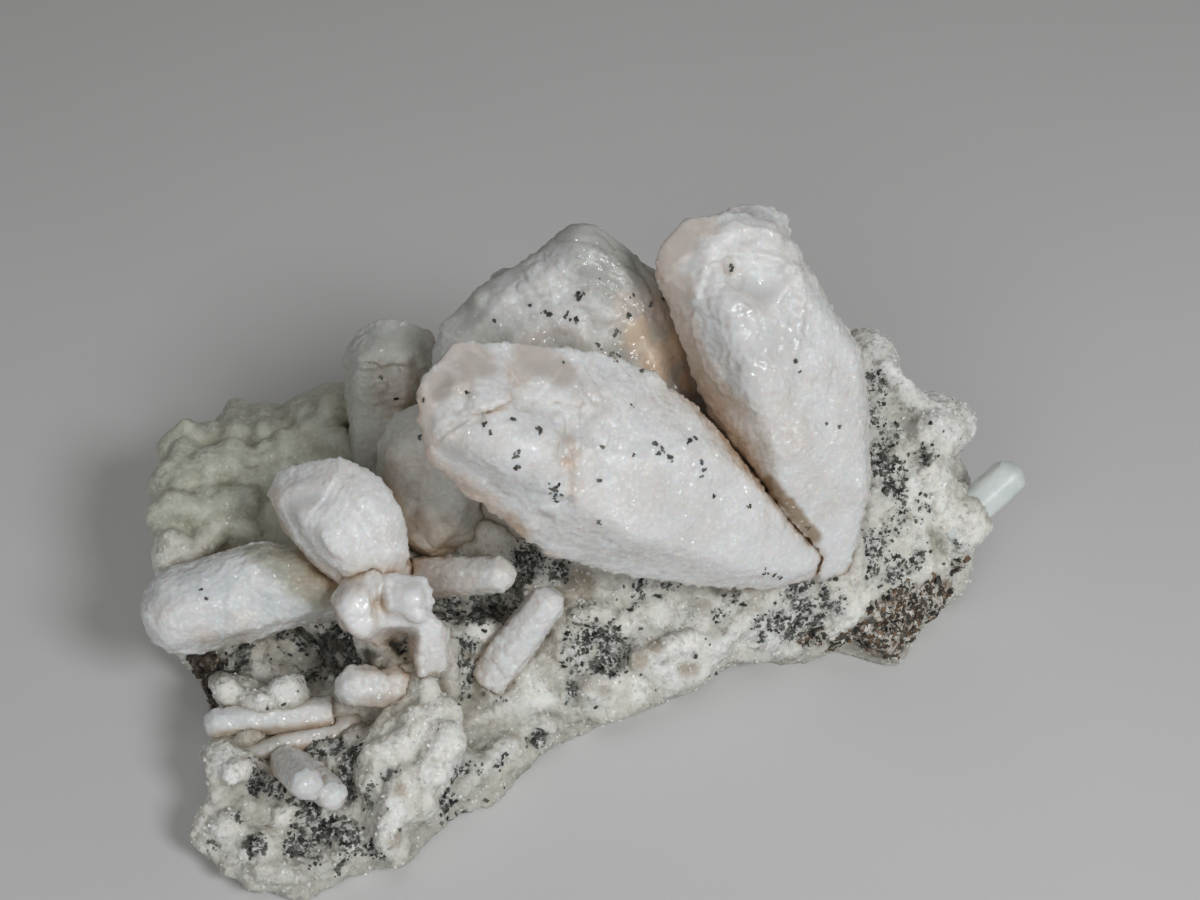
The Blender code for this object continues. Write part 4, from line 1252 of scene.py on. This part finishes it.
def shape_crystal(name, look):
    """A crystal's skin with its bulges, growth layers, sugary grains and colours."""
    skin = Skin(name, [look["node"]], look["voxel"], 3)
    toward = -(skin.normals @ CAMERA_FORWARD)
    soft = np.maximum(ease_between(toward, 0.05, 0.35), look["round_all"])
    skin.relax(soft * (1 - skin.patches(look["keep"])), look["round"])
    skin.relax(skin.patches(look["calm"]), look["calm_rounds"])
    clean = np.maximum(skin.patches(look["gloss"]), look["even_gloss"])
    plain = 1 - 0.9 * clean
    rim = 1 - ease_between(np.abs(skin.normals @ CAMERA_FORWARD), 0.15, 0.6)
    if look["stem_shift"]:
        across, down = seen_at(skin.places).T
        share = ease_between(across, *look["stem_columns"])
        shift = ease_between(down, *look["stem_rows"]) * share * look["stem_shift"]
        groove = ease_between(down, *look["gap_rows"]) * share * (1 - share) * 4 * look["gap_depth"]
        skin.places = (
            skin.places + np.outer(shift, CAMERA_RIGHT) + np.outer(groove, CAMERA_FORWARD))
        skin.update()
    skin.push(skin.swell(look["swell"]))
    crests = 0.5 - np.abs(layers(skin.places, 6, 5, 2))
    skin.push((layers(skin.places, 11, 3, 2) * 0.7 + crests * 0.5) * look["broad"] * plain)
    skin.push(skin.ledges(look["ledges"]))
    crests = 0.5 - np.abs(wave(warped(skin.places, 3.0, 0.9), 1.5, 19))
    skin.push(skin.patches(look["ripples"]) * crests * 0.6)
    for u, v, spacing, height, rows in look["bands"]:
        distance = np.linalg.norm(skin.places - skin.spot(u, v), axis=1)
        distance += wave(skin.places, spacing * 2.2, 12) * spacing * 0.5
        skin.push(skin.patches(rows) * height * (distance / spacing % 1.0 - 0.5))
    for size, height, rows in look["beads"]:
        skin.push(skin.patches(rows) * height * (lumps(skin.places, size, 23) - 0.5))
    skin.push(rim * layers(skin.places, 1.5, 14, 2) * look["edge"] * plain)
    grain = sugar_layer(skin.places, COARSE_SUGAR) + sugar_layer(skin.places, FINE_SUGAR)
    skin.push(grain * look["grain"] * plain)

    clouds = ease_between(layers(skin.places, 8, 9), -0.3, 0.5)
    tint = blend(look["base"], look["clouds"], clouds)
    # Painted glow: the crystal's own peach at its outline seen from the camera, as light shines
    # through thin edges
    tint = blend(tint, PEACH, rim * look["rim_glow"])
    for colour, strength, rows in look["tints"]:
        tint = blend(tint, colour, skin.patches(rows) * strength)
    tint = tint * (1 - look["clear"] * clean)[:, None]
    for colour, strength, width, line in look["streaks"]:
        tint = blend(tint, colour, skin.streak(width, line) * strength)
    skin.tint = tint
    skin.shade = CRYSTAL_SHADE
    skin.paint("gloss", clean)
    skin.tree = mesh_tree(skin.mesh)
    return skin


def shade_hollows(skins, generator):
    """Paint shade into the skins' colours: warmer and darker the more closed in a place is, as the
    light in hollows of milky calcite is.
    """
    tree = mesh_tree(*(skin.mesh for skin in skins))
    for skin in skins:
        closed = np.zeros(skin.count)
        starts = (skin.places + skin.normals * RAY_START).tolist()
        for _ in range(SHADE_RAYS):
            ways = generator.normal(size=(skin.count, 3))
            ways /= np.linalg.norm(ways, axis=1)[:, None]
            for index, way in enumerate((ways + skin.normals * 1.02).tolist()):
                distance = tree.ray_cast(starts[index], way, SHADE_REACH)[3]
                if distance is not None:
                    closed[index] += (1 - distance / SHADE_REACH) / SHADE_RAYS
        closed = closed[:, None]
        for _ in range(8):
            closed = skin.soften(closed)
        skin.closed = closed[:, 0]
        # Painted shade: colours darker and warmer the more closed in a place is
        skin.paint("tint", skin.tint * (1 - np.clip(closed * 1.6, 0, 1) * skin.shade))


def make_crystals():
    calcite = calcite_material()
    clear = prong_material("clear calcite", (0.72, 0.79, 0.77), (0.84, 0.88, 0.87), 0.12)
    made = []
    for name, look in LOOKS.items():
        skin = shape_crystal(name, {**PLAIN_LOOK, **look})
        skin.finish(clear if look["slot"] == "clear_prong" else calcite, look["slot"])
        made.append(skin)
    return made


def add_specks(crystals, material, generator):
    """Small clusters of dark flecks where the photograph shows them on the crystals."""
    places, normals = [], []
    for u, v, spread, count in SPECKS:
        for _ in range(count):
            du, dv = generator.normal(size=2) * spread * 0.6
            hits = []
            for skin in crystals:
                hit = skin.tree.ray_cast(Vector(CAMERA_PLACE), Vector(sight_line(u + du, v + dv)))
                if hit[0] is not None:
                    hits.append((hit[3], tuple(hit[0]), tuple(hit[1])))
            if hits:
                _, place, normal = min(hits)
                places.append(place)
                normals.append(normal)
    sizes = 0.2 + 0.36 * generator.random(len(places))
    add_grains("crystal_specks", material, "pink_crystal", np.array(places), np.array(normals),
               sizes, generator, flat=0.4, long=1.3, lift=0.02, wild=0.2)


def add_flecks(crust, material, generator):
    """Dark flecks of the crust, in clumps where it is dirty."""
    clumps = ease_between(wave(crust.places, 1.3, 64), -0.3, 0.3)
    weight = crust.grit * (0.3 + clumps) * (1 - crust.rock) + 0.002 * (1 - crust.ridge)
    spots, normals = scatter(crust, weight, FLECK_COUNT, generator)
    sizes = 0.18 + 0.44 * generator.random(FLECK_COUNT) ** 2
    add_grains("crust_flecks", material, "crust", spots, normals, sizes, generator,
               flat=0.8, long=1.2, lift=0.0)


def add_druse(crust, generator):
    """Small white crystals on the clean and open parts of the crust."""
    weight = (1 - crust.grit * 0.6) * (1 - crust.rock) * (1 - crust.ridge)
    weight = weight * (1 - crust.under) * (1 - ease_between(crust.closed, 0.08, 0.35))
    spots, normals = scatter(crust, weight, DRUSE_COUNT, generator)
    material = grain_material("white druse", (0.70, 0.69, 0.65), (0.80, 0.80, 0.78), 0.35)
    sizes = 0.22 + 0.34 * generator.random(DRUSE_COUNT) ** 2
    add_grains("druse", material, "crust", spots, normals, sizes, generator, flat=0.8, lift=0.0)


def add_rock_grains(crust, generator):
    """Dark, rusty and pale grains of the bare rock."""
    for name, dark, light, share, weight in (
            ("rock_dark", (0.018, 0.017, 0.014), (0.09, 0.075, 0.055), 0.42, crust.stone),
            ("rock_rust", (0.07, 0.045, 0.026), (0.24, 0.14, 0.075), 0.2, crust.stone),
            ("rock_pale", (0.36, 0.34, 0.29), (0.68, 0.66, 0.61), 0.38, crust.stone),
            ("rock_left", (0.015, 0.013, 0.011), (0.10, 0.075, 0.055), 0.2, crust.dark_rock)):
        weight = weight * ease_between(wave(crust.places, 2.6, 71 + len(name)), -0.1, 0.3)
        count = int(ROCK_GRAIN_COUNT * share)
        spots, normals = scatter(crust, weight ** 2 * (1 - crust.under), count, generator)
        material = grain_material(name, dark, light, 0.5)
        sizes = 0.35 + 0.6 * generator.random(count) ** 1.5
        add_grains(name, material, "crust", spots, normals, sizes, generator,
                   flat=0.9, long=1.3, lift=0.0)


make_camera()
make_studio()
crystals = make_crystals()
crust = shape_crust(crystals)
crust.finish(crust_material(), "crust")
shade_hollows(crystals + [crust], np.random.default_rng(SHADE_SEED))

draws = np.random.default_rng(GRAIN_SEED)
flecks = grain_material("dark flecks", (0.018, 0.02, 0.019), (0.16, 0.165, 0.14))
add_specks(crystals, flecks, draws)
add_flecks(crust, flecks, draws)
add_druse(crust, draws)
add_rock_grains(crust, draws)
